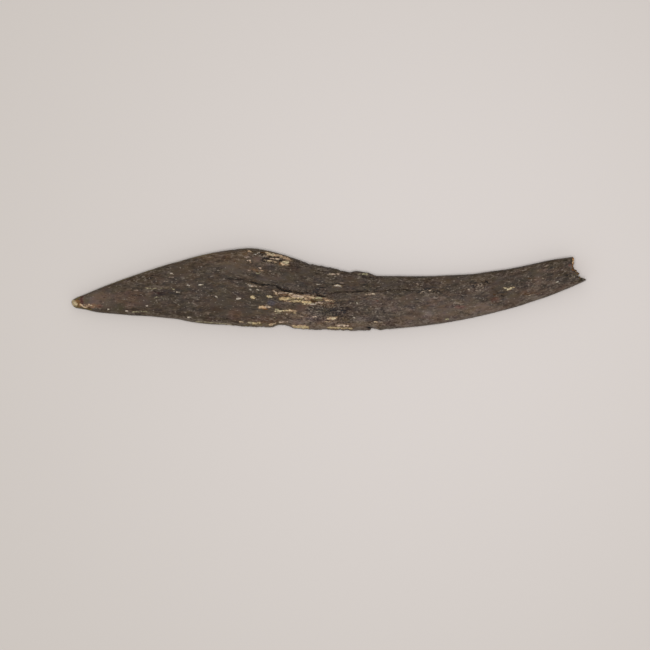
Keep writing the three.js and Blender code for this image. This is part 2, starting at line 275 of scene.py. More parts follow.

# Stained areas of the skin, and four long rows of painted light along the lower edge. Each row:
# middle x and y, half length, half height (pixels), how strong, and the colour.
STAINS_AND_EDGE_LIGHT = [
    (99, 300, 24, 9, 0.9, FAWN), (94, 306, 8, 2.2, 0.5, GINGER), (86.8, 299.4, 3.4, 4, 0.85, DRAB),
    (117, 307.6, 8, 6, 0.85, EARTH), (128, 297, 22, 8, 0.4, COCOA), (165, 293, 12, 3, 0.7, PEAT),
    (160, 287.5, 14, 1.8, 0.5, NUT), (205, 256, 20, 4, 0.7, COCOA), (222, 260, 24, 8, 0.6, NUT),
    (243, 257, 9, 8, 0.7, NUT), (256.5, 260, 6, 5, 0.85, FAWN), (258, 270.5, 12, 2.5, 0.6, SAND),
    (271, 265, 9, 2.2, 0.7, TAUPE), (294, 266, 8, 6, 0.6, PEAT), (271.4, 303, 4, 3, 0.8, SLATE),
    (300, 321, 11, 5, 0.7, CHALK), (337, 310, 12, 6, 0.85, PEAT), (356, 297, 10, 4, 0.5, TAUPE),
    (385, 304, 26, 15, 0.6, TAUPE), (436, 306, 30, 12, 0.7, FAWN), (462, 303, 10, 6, 0.6, TAUPE),
    (478, 298, 16, 9, 0.5, TAUPE), (470, 281, 14, 6, 0.4, TAUPE), (494.6, 300.4, 5, 3.6, 0.85, RUSSET),
    (478, 307, 20, 4, 0.4, STONE), (532, 292, 18, 4, 0.6, COCOA), (569, 265.5, 1.5, 1.5, 0.8, SORREL),
    # Painted light: the row at x 330, y 324.5 lights the lower edge.
    (582, 280, 5, 2, 0.8, SOOT), (330, 324.5, 34, 5, 0.6, BUFF), (318, 316, 14, 5, 0.5, FAWN),
    (268, 319, 22, 4, 0.5, COCOA), (302, 299, 26, 6, 0.6, BUFF), (282, 313, 14, 3, 0.5, SAND),
    (354, 291, 10, 4, 0.5, TAUPE), (338, 267, 10, 3, 0.5, DRAB), (448, 318, 22, 6, 0.6, FAWN),
    # Painted light: the rows at x 414 and 470 here, and at x 520 below, light the lower edge.
    (496, 308, 12, 4, 0.6, FAWN), (414, 320, 40, 6, 0.5, FAWN), (470, 313, 26, 4.4, 0.7, STONE),
    (520, 302, 30, 4, 0.5, TAUPE), (88, 294.6, 6, 2.8, 0.6, DUN), (93.8, 306.2, 2.6, 2.6, 0.8, GINGER),
    (100, 306.6, 4, 2.6, 0.6, SORREL), (121, 306.5, 5, 5, 0.7, EARTH), (130, 306, 5, 2.6, 0.5, COCOA),
    (150.8, 293.6, 3, 2.2, 0.6, SAND), (152, 284.6, 10, 2, 0.6, LOAM), (160, 293.6, 8, 2.6, 0.7, PEAT),
    (166, 281, 8, 2.6, 0.5, FAWN), (189, 266, 6, 4, 0.6, DRAB), (205, 313.6, 6, 1.4, 0.35, FAWN),
    (216, 293.6, 9, 3.4, 0.5, LOAM), (235, 314, 8, 7, 0.7, COCOA), (236, 268, 12, 6, 0.5, TAUPE),
    (257, 313, 5, 3, 0.5, NUT), (273, 279, 14, 3, 0.5, TAUPE), (285, 320.6, 7, 1.8, 0.7, FAWN),
    (300, 314.6, 10, 3.8, 0.7, BUFF), (301, 308, 6, 5, 0.7, UMBER), (311, 320.5, 8, 4, 0.6, CHALK),
    (318, 310, 8, 4, 0.5, DRAB), (320, 291, 10, 4, 0.7, PEAT), (328, 305, 7, 3, 0.8, SAND),
    (334, 320, 8, 3.8, 0.8, BUFF), (344, 298.6, 8, 4, 0.5, TAUPE), (357, 320.4, 6, 5, 0.6, STONE),
    (376, 324, 10, 3.4, 0.6, STONE), (392, 294, 10, 4, 0.6, LOAM), (399, 309, 11, 6, 0.5, STONE),
    (408, 323.6, 13, 3.6, 0.5, STONE), (429, 315.6, 10, 4, 0.8, CHALK), (432, 300, 9, 5, 0.5, FAWN),
    (447, 320, 8, 4.4, 0.7, DUN), (457, 301.6, 6, 3, 0.6, STONE), (458.6, 306.8, 6, 1.8, 0.7, SORREL),
    (467.6, 301, 4.4, 11, 0.7, TAUPE), (480, 308, 9, 5, 0.6, STONE), (480, 289, 9, 5, 0.5, FAWN),
    (506, 299.6, 2.4, 3, 0.5, FAWN), (512, 298, 7, 5, 0.6, DRAB), (533, 297.6, 10, 3, 0.6, STONE),
    (537.4, 282, 4, 9, 0.6, FAWN), (544, 290, 12, 3.4, 0.5, FAWN), (552, 283, 8, 2, 0.5, STONE),
    (552, 262.4, 12, 2.4, 0.7, LOAM), (560.4, 273.8, 6, 3, 0.9, LOAM), (216, 309.6, 8, 4, 0.6, PEAT),
    (565, 260, 2.4, 1.8, 0.8, SOOT), (545, 271, 10, 2.8, 0.7, FAWN), (552, 265, 8, 2.4, 0.5, LOAM),
    (97, 294, 6, 3, 0.5, DRAB), (240, 294.6, 9, 4, 0.7, PEAT), (264, 294, 8, 3, 0.6, LOAM),
    (264, 324, 8, 3, 0.5, SAND), (281, 264, 5, 3, 0.6, SAND), (256, 265.6, 7, 3, 0.6, FAWN),
    (288, 288.4, 9, 3, 0.5, PEAT), (320, 279.6, 9, 3.4, 0.5, TAUPE), (328, 314, 8, 4, 0.5, EARTH),
    (344, 319, 7, 4, 0.5, NUT), (336, 301, 6, 2.8, 0.6, NUT), (336, 294.6, 8, 2.8, 0.5, PEAT),
    (367, 319.6, 8, 4, 0.6, FAWN), (376, 297.4, 8, 5, 0.6, STONE), (408, 319, 9, 4, 0.5, STONE),
    (408, 294.6, 8, 3.4, 0.5, TAUPE), (440, 284, 9, 4, 0.5, TAUPE), (363, 309.6, 6, 3.4, 0.5, TAUPE),
    (455, 314, 6, 3.6, 0.5, UMBER), (558, 287, 7, 3.4, 0.7, FAWN),
]

# Plates where the skin is smooth: middle x and y, half length, half height. Pixels.
CALM_PLATES = [
    (117, 307, 10, 6), (147, 301.6, 12, 5), (226, 305, 20, 10), (255, 311, 16, 6), (256.6, 260, 5, 4),
    (236, 268, 14, 7), (271, 279.5, 16, 4), (301, 307, 7, 6), (350, 281, 14, 6), (388, 283, 14, 5),
    (180, 270, 12, 8), (445, 312, 8, 8), (450, 280, 18, 4), (467.6, 302, 5, 12), (424, 312, 8, 4),
    (496, 287, 8, 10), (482, 308, 8, 5), (511, 298, 8, 5), (536, 276, 6, 10), (300, 327, 9, 2),
    (306, 272, 9, 5), (292, 278, 9, 6), (336, 290, 10, 2.4), (407, 300, 8, 5), (413, 318, 12, 4),
]

# Places where the skin is crumbled and speckled: middle x and y, half length, half height. Pixels.
LIVELY_PLATES = [
    (325, 312, 28, 13), (300, 296, 30, 7), (428, 291, 14, 3), (268, 258, 20, 6), (478, 287, 9, 6),
]

# Painted light along the two edges, strongest along the lower one: how much paler the skin is painted
# there. x in pixels, and the share of light added.
EDGE_LIGHT_ABOVE = [
    (90, 0.2), (140, 0.2), (220, 0.2), (290, 0.2), (320, 0.4), (360, 0.15), (400, 0.22), (470, 0.2),
    (560, 0.15),
]
EDGE_LIGHT_BELOW = [
    (90, 0.2), (140, 0.35), (180, 0.75), (220, 0.8), (280, 0.5), (320, 1.1), (400, 0.6), (480, 0.5),
    (560, 0.7),
]

# How much the finest crumbs change the skin's light: x in pixels, and the share.
GRAINY = [(95, 0.0), (150, 0.08), (240, 0.1), (260, 0.2), (350, 0.22), (378, 0.34), (430, 0.22), (586, 0.3)]

# Where the blade starts behind the calm tip, and where the stem starts: from x to x, in pixels.
BLADE_START = (95, 140)
STEM_START = (380, 450)
# The olive rim along the edges is a painted highlight.
LOW_RIM_AMOUNT = 0.5  # how strong the lower edge's olive rim is, next to that of the back

# How soft the skin's finest texture is: x in pixels, and the share of it that is gone.
SOFTNESS = [(95, 0.5), (235, 0.65), (258, 0.2), (350, 0), (378, 0), (410, 0.5), (520, 0.4), (586, 0.5)]

# Marks on the skin: places where pale bone is bared, and scars. Each row: from x, y to x, y and the
# half width (pixels), how strong, the colour, and the depth in tenths of a millimetre where the mark
# lies deeper than the shallow ones do.
SHALLOW = 0.3
FAINT_HALF = 0.45
FAINT_AMOUNT = 0.52
DEPTH_UNIT = 0.1
MARK_EDGE = 0.5  # half the width of a mark's soft edge, in pixels
MARK_MARGIN = 3  # how far beyond its half width a mark can still be felt, in pixels
PALE_SUM = 0.8  # a mark whose red, green and blue add up to more than this is a pale one
FRINGE_DEPTHS = (0.3, 1.4)  # where the stain round a pale mark starts and is full
FRINGE_REACH = 1.5
MARKS = [
    # the nib and the streak behind it
    (72.6, 302.4, 75.8, 304.6, 2.9, 1, YELLOW), (73, 302.4, 76, 305.6, 0.8, 0.6, CREAM),
    (75.6, 301.4, 77, 301.8, 0.9, 0.7, TAN), (78, 301, 79.2, 305.8, 1.9, 0.95, WEDGE_BROWN),
    (74, 306.4, 79, 307.2, 0.7, 0.8, OLIVE), (74.6, 300, 80, 297.2, 0.8, 0.85, OLIVE),
    (81.8, 297, 82, 302.8, 1.6, 0.8, WINE), (80.4, 304.4, 83.4, 306, 0.8, 0.85, TAN),
    (83.4, 306.2, 86.6, 307.8, 0.65, 0.8, TAN), (84, 304.8, 86.8, 305, 0.5, 0.75, TAN),
    (85.4, 306, 86.4, 306, 0.5, 0.7, BROWN), (86.8, 307.2, 89, 304.8, 0.6, 0.8, TAN),
    (89, 304.6, 92, 305.8, 0.7, 0.85, TAN), (88.4, 307.8, 91.8, 308.2, 0.6, 0.7, FRINGE_DARK),
    (80, 307.6, 92, 309.8, 0.7, 0.7, OLIVE), (92.4, 300, 93, 300, 0.6, 0.5, DUSKY),
    # specks on the blade
    (108.2, 309.3, 109.2, 309.3, 0.6, 0.75, PALE), (126.4, 310.7, 127.8, 311, 0.6, 0.9, PALE),
    (132.2, 311.8, 139.6, 311.8, 0.5, 0.65, PALE_OLIVE), (141.4, 311.6, 148, 311.8, 0.5, 0.6, PALE_OLIVE),
    (136, 314, 141, 314.2, 0.5, 0.6, BLACK), (146.6, 305.8, 148.4, 306.2, 0.7, 0.9, PALE),
    (134.2, 290.6, 138.2, 290.7, 0.5, 0.75, DUSKY), (138.8, 298.4, 143.6, 298.6, 0.5, 0.4, BLACK),
    (146, 288, 150.6, 288.4, 0.5, 0.55, PALE_OLIVE), (150.6, 288.6, 153, 289.8, 0.4, 0.6, PALE_OLIVE),
    (153, 289.6, 157, 288.2, 0.4, 0.6, PALE_OLIVE), (161, 288.2, 163.4, 288.2, 0.5, 0.5, PALE_OLIVE),
    (172.4, 289.2, 175, 289.4, 0.5, 0.7, PALE_OLIVE), (171.8, 282, 172.8, 282.4, 0.6, 0.8, PALE),
    (171.6, 273.4, 173.6, 274.2, 0.6, 0.75, PALE), (168.4, 273, 170.6, 275.6, 0.6, 0.45, RED),
    (152.4, 296.4, 154.4, 297.8, 0.4, 0.6, PALE_OLIVE), (155.6, 298, 157.4, 297, 0.4, 0.6, PALE_OLIVE),
    (157.4, 297, 159.6, 298.4, 0.4, 0.5, PALE_OLIVE), (163, 297.6, 165.2, 300.2, 0.4, 0.5, PALE_OLIVE),
    (154, 292.8, 159, 293.6, 1.4, 0.4, WINE), (159, 293, 167, 293.8, 1.6, 0.4, PURPLE),
    (153.6, 284.4, 164, 285.6, 0.5, 0.5, BLACK), (177.4, 292.4, 180.8, 292.4, 0.5, 0.75, PALE),
    (187.8, 285.2, 189.6, 285.2, 0.6, 0.95, PALE), (199.6, 285.2, 204, 285.2, 0.65, 0.95, PALE),
    (188.4, 302.2, 189.8, 302.6, 0.5, 0.7, DUSKY), (194.6, 303.8, 196.2, 304, 0.6, 0.75, DUSKY),
    (188.6, 317.4, 191.2, 317.5, 0.6, 0.85, PALE), (196.4, 316.4, 197.4, 317.2, 0.5, 0.7, DUSKY),
    (188, 316, 190.4, 316, 0.4, 0.5, BLACK), (211, 295.4, 215.6, 296, 0.45, 0.65, DUSKY),
    (216.4, 296.6, 218.4, 297.6, 0.7, 1, PALE), (209, 257.4, 209.8, 258.2, 0.5, 0.6, TAWNY),
    (236.8, 298.8, 240.8, 298.8, 0.7, 1, PALE), (232, 296, 247, 295, 0.4, 0.4, PURPLE),
    (206, 292.6, 216, 292.8, 0.4, 0.4, BLACK), (195.6, 321.6, 212, 322.8, 0.55, 0.6, PALE_OLIVE),
    (211, 322.8, 217, 323, 0.6, 0.65, PALE_OLIVE), (217, 323.4, 226, 323.8, 0.5, 0.6, PALE_OLIVE),
    (226, 324, 232.6, 324.8, 0.6, 0.65, CREAM),
    # the hump
    (248.4, 251.6, 250.8, 251.9, 0.8, 0.8, TAN), (246.4, 252.8, 246.8, 254.8, 0.5, 0.55, TAN),
    (244.6, 257.2, 250.2, 257.4, 0.9, 0.65, DUSKY), (247.6, 261, 250.8, 260.6, 0.6, 0.7, PINK),
    (250.4, 261.6, 251.2, 263.2, 0.5, 0.6, TAN), (248.6, 262.2, 249.4, 262.4, 0.5, 0.6, RUST),
    (243, 262, 245.4, 262.2, 0.7, 0.45, DUSKY), (234.6, 261.2, 236.4, 262, 0.6, 0.5, RED),
    (253.4, 252.8, 256.4, 254.6, 0.7, 0.75, PALE, 0.8),
    (256.4, 254.6, 259.2, 252.6, 0.65, 0.65, PALE, 0.8), (258.8, 254, 260.8, 253.8, 0.8, 0.95, BLACK, 1.6),
    (253.6, 255.2, 255, 255.6, 0.5, 0.6, BLACK, 0.8),
    (260.6, 252.6, 264, 252.8, 0.9, 0.75, FRINGE_DARK, 0.8), (266, 252.9, 270, 253.6, 0.7, 0.85, TAN, 1.2),
    (268, 254.6, 276, 255.2, 1, 0.95, TAN, 1.4), (267.4, 253.4, 274.6, 254.4, 0.5, 0.7, CREAM, 1.2),
    (276, 255, 281, 256, 1, 0.85, TAN, 1.4), (281.2, 256.4, 288, 258.6, 1.3, 0.85, TAN, 1.4),
    (284, 258.6, 291.2, 260.4, 0.9, 0.65, TAN, 1.2), (268.4, 255.2, 270.2, 255.3, 0.4, 0.7, BLACK, 1.6),
    (269, 256.8, 280.2, 257.4, 0.6, 0.75, BLACK, 2), (263.8, 256.6, 268, 256.7, 0.5, 0.75, DUSKY),
    (263.6, 258.8, 269.8, 258.9, 0.8, 0.7, PURPLE, 1.4), (271, 258.5, 276.4, 258.6, 0.6, 0.85, PINK, 1.2),
    (276.8, 259, 278.8, 260, 1, 1, PINK, 1.4), (265, 261, 266.8, 261, 0.6, 0.7, TAN, 0.8),
    (268, 261.4, 276.4, 262.4, 1, 0.6, TAN, 0.8), (268, 261, 269.8, 261.2, 0.5, 0.6, TAN, 0.8),
    (270.4, 262.4, 271.4, 262.5, 0.5, 0.85, BLACK, 1.4), (275.6, 261.8, 276.4, 262, 0.4, 0.7, BLACK, 1.4),
    (279.8, 260.6, 282.2, 260.8, 0.8, 0.9, BLACK, 2.2), (283, 262.8, 288, 262.6, 1.5, 1, CREAM, 1.4),
    (281.6, 263, 284, 264.4, 1, 0.75, TAN, 1.4), (282.4, 265.2, 288.6, 265, 0.6, 0.75, TAN, 1.2),
    (280.6, 262.8, 281, 265.4, 0.6, 0.8, RUST, 1.2), (275.8, 267.6, 276.8, 268.6, 0.6, 0.55, DUSKY),
    (281.4, 267.6, 281.8, 270, 0.6, 0.4, DUSKY), (247.6, 270.3, 250.8, 270.3, 0.8, 0.6, DUSKY),
    (250.6, 269.6, 257.6, 269.6, 1.1, 0.45, TAWNY), (259.6, 267.8, 261.2, 268.4, 0.7, 0.8, PINK),
    (261.4, 270, 264.6, 271.2, 0.7, 0.65, TAN), (266.8, 271.3, 271.8, 271.4, 0.4, 0.5, DUSKY),
    (256.4, 271.8, 259, 272.4, 0.8, 0.7, FRINGE_DARK), (256.4, 273.6, 259.4, 273.9, 0.45, 0.8, PALE_OLIVE),
    (259.4, 273.6, 260.2, 272.4, 0.4, 0.6, PALE_OLIVE), (294.5, 277.2, 300, 277.4, 0.5, 0.5, BLACK),
    (294.5, 280.4, 299, 280.6, 0.5, 0.5, BLACK),
    # under the crack
    (249.6, 285.1, 252, 285.5, 1.15, 1, PALE, 0.8), (252.6, 286, 256.6, 286.5, 0.55, 0.95, PINK, 0.8),
    (259.4, 286.9, 261, 286.9, 0.6, 0.75, DUSKY), (249.4, 289.5, 251.2, 289.7, 0.9, 0.75, GREY),
    (257.4, 289.8, 259.6, 290, 0.8, 0.75, GREY), (265.4, 289.3, 272.6, 289.6, 1, 0.5, BLACK, 1),
    (252.2, 297.4, 254.2, 297.6, 1.6, 0.95, YELLOW, 0.8), (252.4, 297, 253.6, 297, 0.8, 0.6, CREAM),
    (267.6, 296.4, 268.8, 297.4, 0.8, 0.75, YELLOW), (269.8, 296.6, 271.6, 296.8, 0.9, 0.95, CREAM, 0.8),
    (265.6, 296, 268, 296, 0.6, 0.5, OLIVE), (272, 297.6, 273.4, 295.8, 0.5, 0.5, OLIVE),
    (260.2, 307.4, 266.6, 307.2, 1.2, 1, WARM, 1.2), (266, 306.6, 270, 307.3, 0.8, 0.95, PINK, 1.2),
    (262, 309.3, 268, 309.3, 0.5, 0.75, RUST, 0.8),
    # the long bared band
    (274.2, 290.8, 277, 293.6, 0.7, 0.85, PINK, 1.6), (276.2, 293.4, 277.6, 294.6, 0.9, 0.9, TAN, 1.6),
    (279, 293.2, 289, 292.9, 0.5, 0.8, PINK, 2), (289, 293, 294, 294.2, 0.5, 0.8, PINK, 2),
    (281.6, 294.8, 289.4, 295, 0.7, 0.85, TAWNY, 2.6), (286.6, 295.6, 290.2, 296.2, 0.5, 0.8, BLACK, 3.4),
    (290, 295, 294.6, 296.6, 1, 0.85, TAN, 2.6), (294, 296.2, 303.6, 296.9, 1.3, 0.9, PINK, 3),
    (304.4, 296.8, 313.6, 297.6, 1.2, 0.95, TAN, 3), (305, 299, 309, 299.4, 0.8, 0.85, TAN, 3),
    (308, 298.9, 311.4, 298.8, 0.7, 0.8, TAWNY, 3), (280.2, 298.9, 289, 298.9, 1.25, 1, YELLOW, 3),
    (289.4, 299.2, 302, 299.9, 0.35, 0.8, OLIVE, 3), (290.4, 297.9, 303, 298.3, 0.55, 0.75, YELLOW, 3),
    (284, 301, 291, 301.4, 0.55, 0.85, TAN, 3), (291.6, 301.2, 302.4, 301.2, 0.85, 0.9, YELLOW, 3),
    (293.6, 302, 294.6, 302.2, 0.6, 0.9, CREAM, 3), (303, 302.2, 310.6, 302.2, 0.85, 0.95, YELLOW, 2.6),
    (303.6, 303.9, 311, 304, 0.5, 0.9, CREAM, 2), (311, 304.1, 315.6, 304.2, 0.5, 0.95, PALE, 2),
    (315.8, 303.2, 322.4, 303.2, 0.7, 0.95, PINK, 1.8),
    (316.4, 298.4, 321.8, 298, 0.8, 0.9, PALE_OLIVE, 2.4),
    (315.6, 300.6, 322.4, 300.4, 0.7, 0.75, OLIVE, 2.4),
    (311.6, 300.8, 315, 301.6, 1.1, 0.9, FRINGE_DARK, 3.4), (311.8, 298.8, 315, 299.2, 0.5, 0.7, OLIVE, 3),
    (323.6, 298.6, 327.4, 300.4, 1.1, 0.75, TAWNY, 2), (324, 299, 326, 299, 0.5, 0.8, TAN, 1.8),
    # Painted shadow: the wine line from x 304 to 315 at y 305.2, under the bared band.
    (326, 300.6, 333.6, 301.3, 0.7, 0.75, TAN, 1.6), (304, 305.2, 315, 305.3, 0.5, 0.6, WINE),
    (327.6, 303.4, 333.8, 303.6, 0.6, 0.5, RED),
    # streaks under the band
    (275.4, 309.6, 279, 309.4, 0.4, 0.8, PALE_OLIVE, 0.8), (275.4, 311.2, 284, 310.8, 0.5, 0.9, CREAM, 1),
    (275.4, 313.2, 280.4, 313, 0.5, 0.8, PALE_OLIVE, 0.8),
    (283.6, 310.8, 290, 310.4, 0.6, 0.85, YELLOW, 1), (289, 310.4, 295.4, 311, 0.9, 0.9, TAN, 1.2),
    (293.4, 312.8, 295.2, 313.2, 0.6, 0.75, YELLOW, 0.8), (277.4, 306.8, 280, 306.9, 0.5, 0.7, RED),
    (286.6, 314.3, 287.6, 314.4, 0.6, 0.85, PALE), (284.4, 317.4, 286.2, 317.6, 0.7, 0.6, DUSKY),
    (274, 317.7, 275.6, 317.9, 0.6, 0.6, PALE_OLIVE), (300.6, 316.2, 303.8, 316.2, 0.8, 0.5, DUSKY),
    (313.2, 316.9, 316.2, 317, 0.8, 0.85, PINK),
    # the lower edge
    (240, 322.2, 243.4, 322.2, 0.6, 0.8, TAN, 0.8), (248, 322.8, 254, 323, 0.8, 0.75, CREAM, 1),
    (253, 323.4, 260, 322.8, 0.9, 0.8, YELLOW, 1), (251, 322.4, 252, 322.5, 0.5, 0.95, BLACK, 1.6),
    (244, 325, 262, 325.2, 0.7, 0.6, OLIVE), (262.6, 323.8, 268, 325.4, 0.8, 0.45, OLIVE, 0.8),
    (270, 324.6, 275.6, 323.8, 0.9, 0.8, TAN, 1), (278.8, 322.2, 287.4, 322.2, 0.6, 0.8, PINK, 0.8),
    (292, 325.9, 305, 326.1, 0.8, 0.85, TAN, 1), (294, 327.4, 308.4, 327.6, 1, 1, YELLOW, 1.2),
    (290, 324.7, 307, 324.9, 0.5, 0.4, RED), (327.6, 318.2, 336.4, 318.2, 1.2, 0.7, TAN, 1),
    (332.4, 318.8, 335.2, 318.9, 0.8, 0.9, CREAM, 1), (325.6, 321.6, 331.6, 321.8, 0.7, 0.5, TAN),
    (336.6, 325.4, 347.4, 325.4, 1, 0.85, PINK, 1.4), (328.4, 327.7, 339.6, 328, 0.9, 0.95, YELLOW, 1.2),
    (340, 328.4, 352, 328.5, 0.65, 0.8, YELLOW, 1), (353.8, 317.4, 355, 317.8, 0.8, 0.95, PALE, 0.8),
    (351, 319.6, 354, 319.6, 0.6, 0.5, BLACK, 0.8), (354, 321.6, 361, 321.8, 0.4, 0.4, PALE_OLIVE),
    # between the crack and the lip
    (327.4, 274.4, 334.6, 274.4, 0.8, 0.7, DUSKY, 0.8), (331.6, 274.2, 338.6, 274.2, 0.7, 0.75, PINK, 0.8),
    (339.6, 282.8, 345.4, 283.4, 0.5, 0.6, DUSKY, 0.8), (334.8, 286.2, 338, 285.6, 0.75, 1, PALE, 1.4),
    (338.4, 286, 341, 286.8, 0.8, 1, PALE, 1.4), (332.6, 284.5, 335, 284.5, 0.6, 0.8, BLACK, 1.4),
    (336, 283.8, 345.6, 284.3, 0.6, 0.75, BLACK, 1.4), (341, 287.4, 343, 289.6, 1.4, 0.4, PURPLE),
    (317, 284.5, 321, 284.5, 0.75, 0.5, GREY), (324.6, 281, 326, 281.4, 0.6, 0.4, GREY),
    (358.6, 274.2, 361, 274.2, 0.7, 0.55, PALE_OLIVE), (363.4, 274, 366.4, 274.2, 1.1, 0.9, PALE_OLIVE),
    (363, 277, 367, 277, 1.2, 0.5, PURPLE), (369, 277, 373, 277.2, 0.7, 0.6, PURPLE, 0.8),
    (357.4, 279, 359.6, 278.6, 0.5, 0.4, GREY), (319.6, 287.4, 325, 287.2, 0.6, 0.75, BLACK, 1.2),
    (311.8, 284, 312.4, 288, 0.6, 0.55, BLACK, 0.8), (360, 284.6, 369.2, 284.6, 0.4, 0.65, BLACK, 0.8),
    (376.2, 288.2, 386, 287, 0.6, 0.45, BLACK, 0.8), (370, 286.6, 376, 286.8, 0.4, 0.5, BLACK),
    (262, 275.8, 282, 277, 0.4, 0.45, BLACK), (300, 285.6, 318, 287.4, 0.4, 0.5, BLACK, 0.8),
    # where the body turns to the stem
    (366, 294.3, 374.4, 294.3, 0.7, 0.65, PINK, 0.8), (372.6, 293.6, 374.6, 294, 0.7, 0.75, PINK, 0.8),
    (366, 299.4, 371.2, 299.8, 0.7, 0.5, RED), (376.4, 300.6, 378, 301, 0.7, 0.5, RED),
    (350, 302.9, 351.4, 303.1, 0.5, 0.55, GREY), (356.4, 303, 358, 303.2, 0.6, 0.65, GREY),
    (338, 310.6, 339.6, 311.4, 0.9, 0.4, GREY), (330, 311.6, 341, 312.2, 1.4, 0.4, PURPLE, 0.9),
    (342, 308, 349, 309, 1.2, 0.4, PURPLE, 0.9), (374.6, 322, 376.4, 322.1, 0.5, 0.8, TAN),
    (372.4, 328.4, 378, 328.5, 0.5, 0.5, TAN), (367.8, 328, 371.2, 328, 0.9, 0.95, BLACK, 2.4),
    # the stem
    (417.2, 284, 418.4, 284.6, 0.6, 0.8, DUSKY), (384, 283, 398, 282.4, 0.6, 0.4, BLACK),
    (402.4, 289.4, 407, 289.8, 0.4, 0.6, BLACK), (419.6, 293.6, 421.4, 292, 0.4, 0.65, DUSKY),
    (428, 290.4, 430.2, 290.4, 0.6, 0.8, PINK), (430, 287.4, 433.6, 287.8, 0.5, 0.6, BLACK),
    (450, 295.8, 450.8, 296.8, 0.5, 0.7, BLACK), (467.6, 289.2, 468.6, 290, 0.7, 0.85, DUSKY),
    (475.6, 290, 477.2, 290.6, 0.6, 0.75, DUSKY), (390.2, 318.8, 391.2, 319.2, 0.6, 0.65, DUSKY),
    (419, 308, 420.6, 308.2, 0.6, 0.6, DUSKY), (445.6, 319.4, 447.6, 319.2, 0.7, 0.9, PALE_OLIVE),
    (448, 310.4, 453, 314.6, 0.4, 0.4, RED), (453, 303.8, 463, 303.6, 0.7, 0.45, DUSKY),
    (453.6, 306.6, 463.8, 306.4, 0.7, 0.4, WINE), (477.4, 284.6, 478.6, 285.2, 0.6, 0.65, DUSKY),
    (479.8, 286.4, 481.4, 286, 0.7, 0.7, DUSKY), (478.2, 287.8, 479.2, 288.6, 0.6, 0.6, DUSKY),
    (481.6, 287.8, 482.8, 288.2, 0.6, 0.65, GREY), (484.4, 280.4, 488.4, 283.4, 0.8, 0.65, BLACK, 1),
    (492, 288.6, 495, 290.4, 0.8, 0.5, BLACK, 0.8), (495.4, 291.4, 498.4, 293.4, 0.8, 0.5, BLACK, 0.8),
    (500.8, 295.6, 503.4, 296.6, 0.8, 0.7, BLACK), (492.6, 294.4, 495.4, 295.2, 0.9, 0.75, FRINGE_DARK),
    (503.4, 288.3, 507, 289.2, 0.7, 0.95, CREAM, 1), (507, 289.4, 510.4, 288.6, 0.85, 1, CREAM, 1),
    (510, 288, 513.8, 287.2, 0.5, 0.9, YELLOW, 1), (505, 290.8, 511, 290.8, 0.4, 0.6, WINE),
    (527.4, 278.6, 535, 278.8, 0.6, 0.75, FRINGE_DARK), (522, 283.6, 533, 282.8, 0.5, 0.4, WINE),
    (523.6, 294, 528.2, 294.2, 0.7, 0.75, FRINGE_DARK), (511, 272, 511.8, 272.6, 0.6, 0.6, GREY),
    (523.2, 271.4, 524, 271.6, 0.5, 0.5, GREY), (543, 287, 544.4, 286.6, 0.6, 0.65, GREY),
    (547, 285.2, 548.4, 285, 0.7, 0.75, GREY), (555.6, 282, 557.2, 281.6, 0.7, 0.8, GREY),
    # the broken end
    (572.7, 257.2, 572.9, 267.6, 0.8, 0.9, TORN_ORANGE), (571.2, 265, 572.4, 269.6, 0.8, 0.5, RUST),
    (568, 264, 569.4, 264.6, 0.6, 0.6, WINE), (572, 269.8, 573, 270.2, 0.6, 0.85, RUST),
    (572.4, 274, 575.6, 273.8, 1.6, 0.4, OLIVE), (576.6, 273.6, 578.4, 273, 0.9, 0.9, TAWNY),
    (577, 276, 579.6, 277.8, 0.7, 0.7, OLIVE), (565, 275.4, 566.8, 275.4, 0.8, 0.7, BLACK, 0.8),
    (569, 275.8, 571, 275.9, 0.7, 0.5, BLACK, 0.8), (570, 259, 571, 261, 0.9, 0.45, MOSS),
]

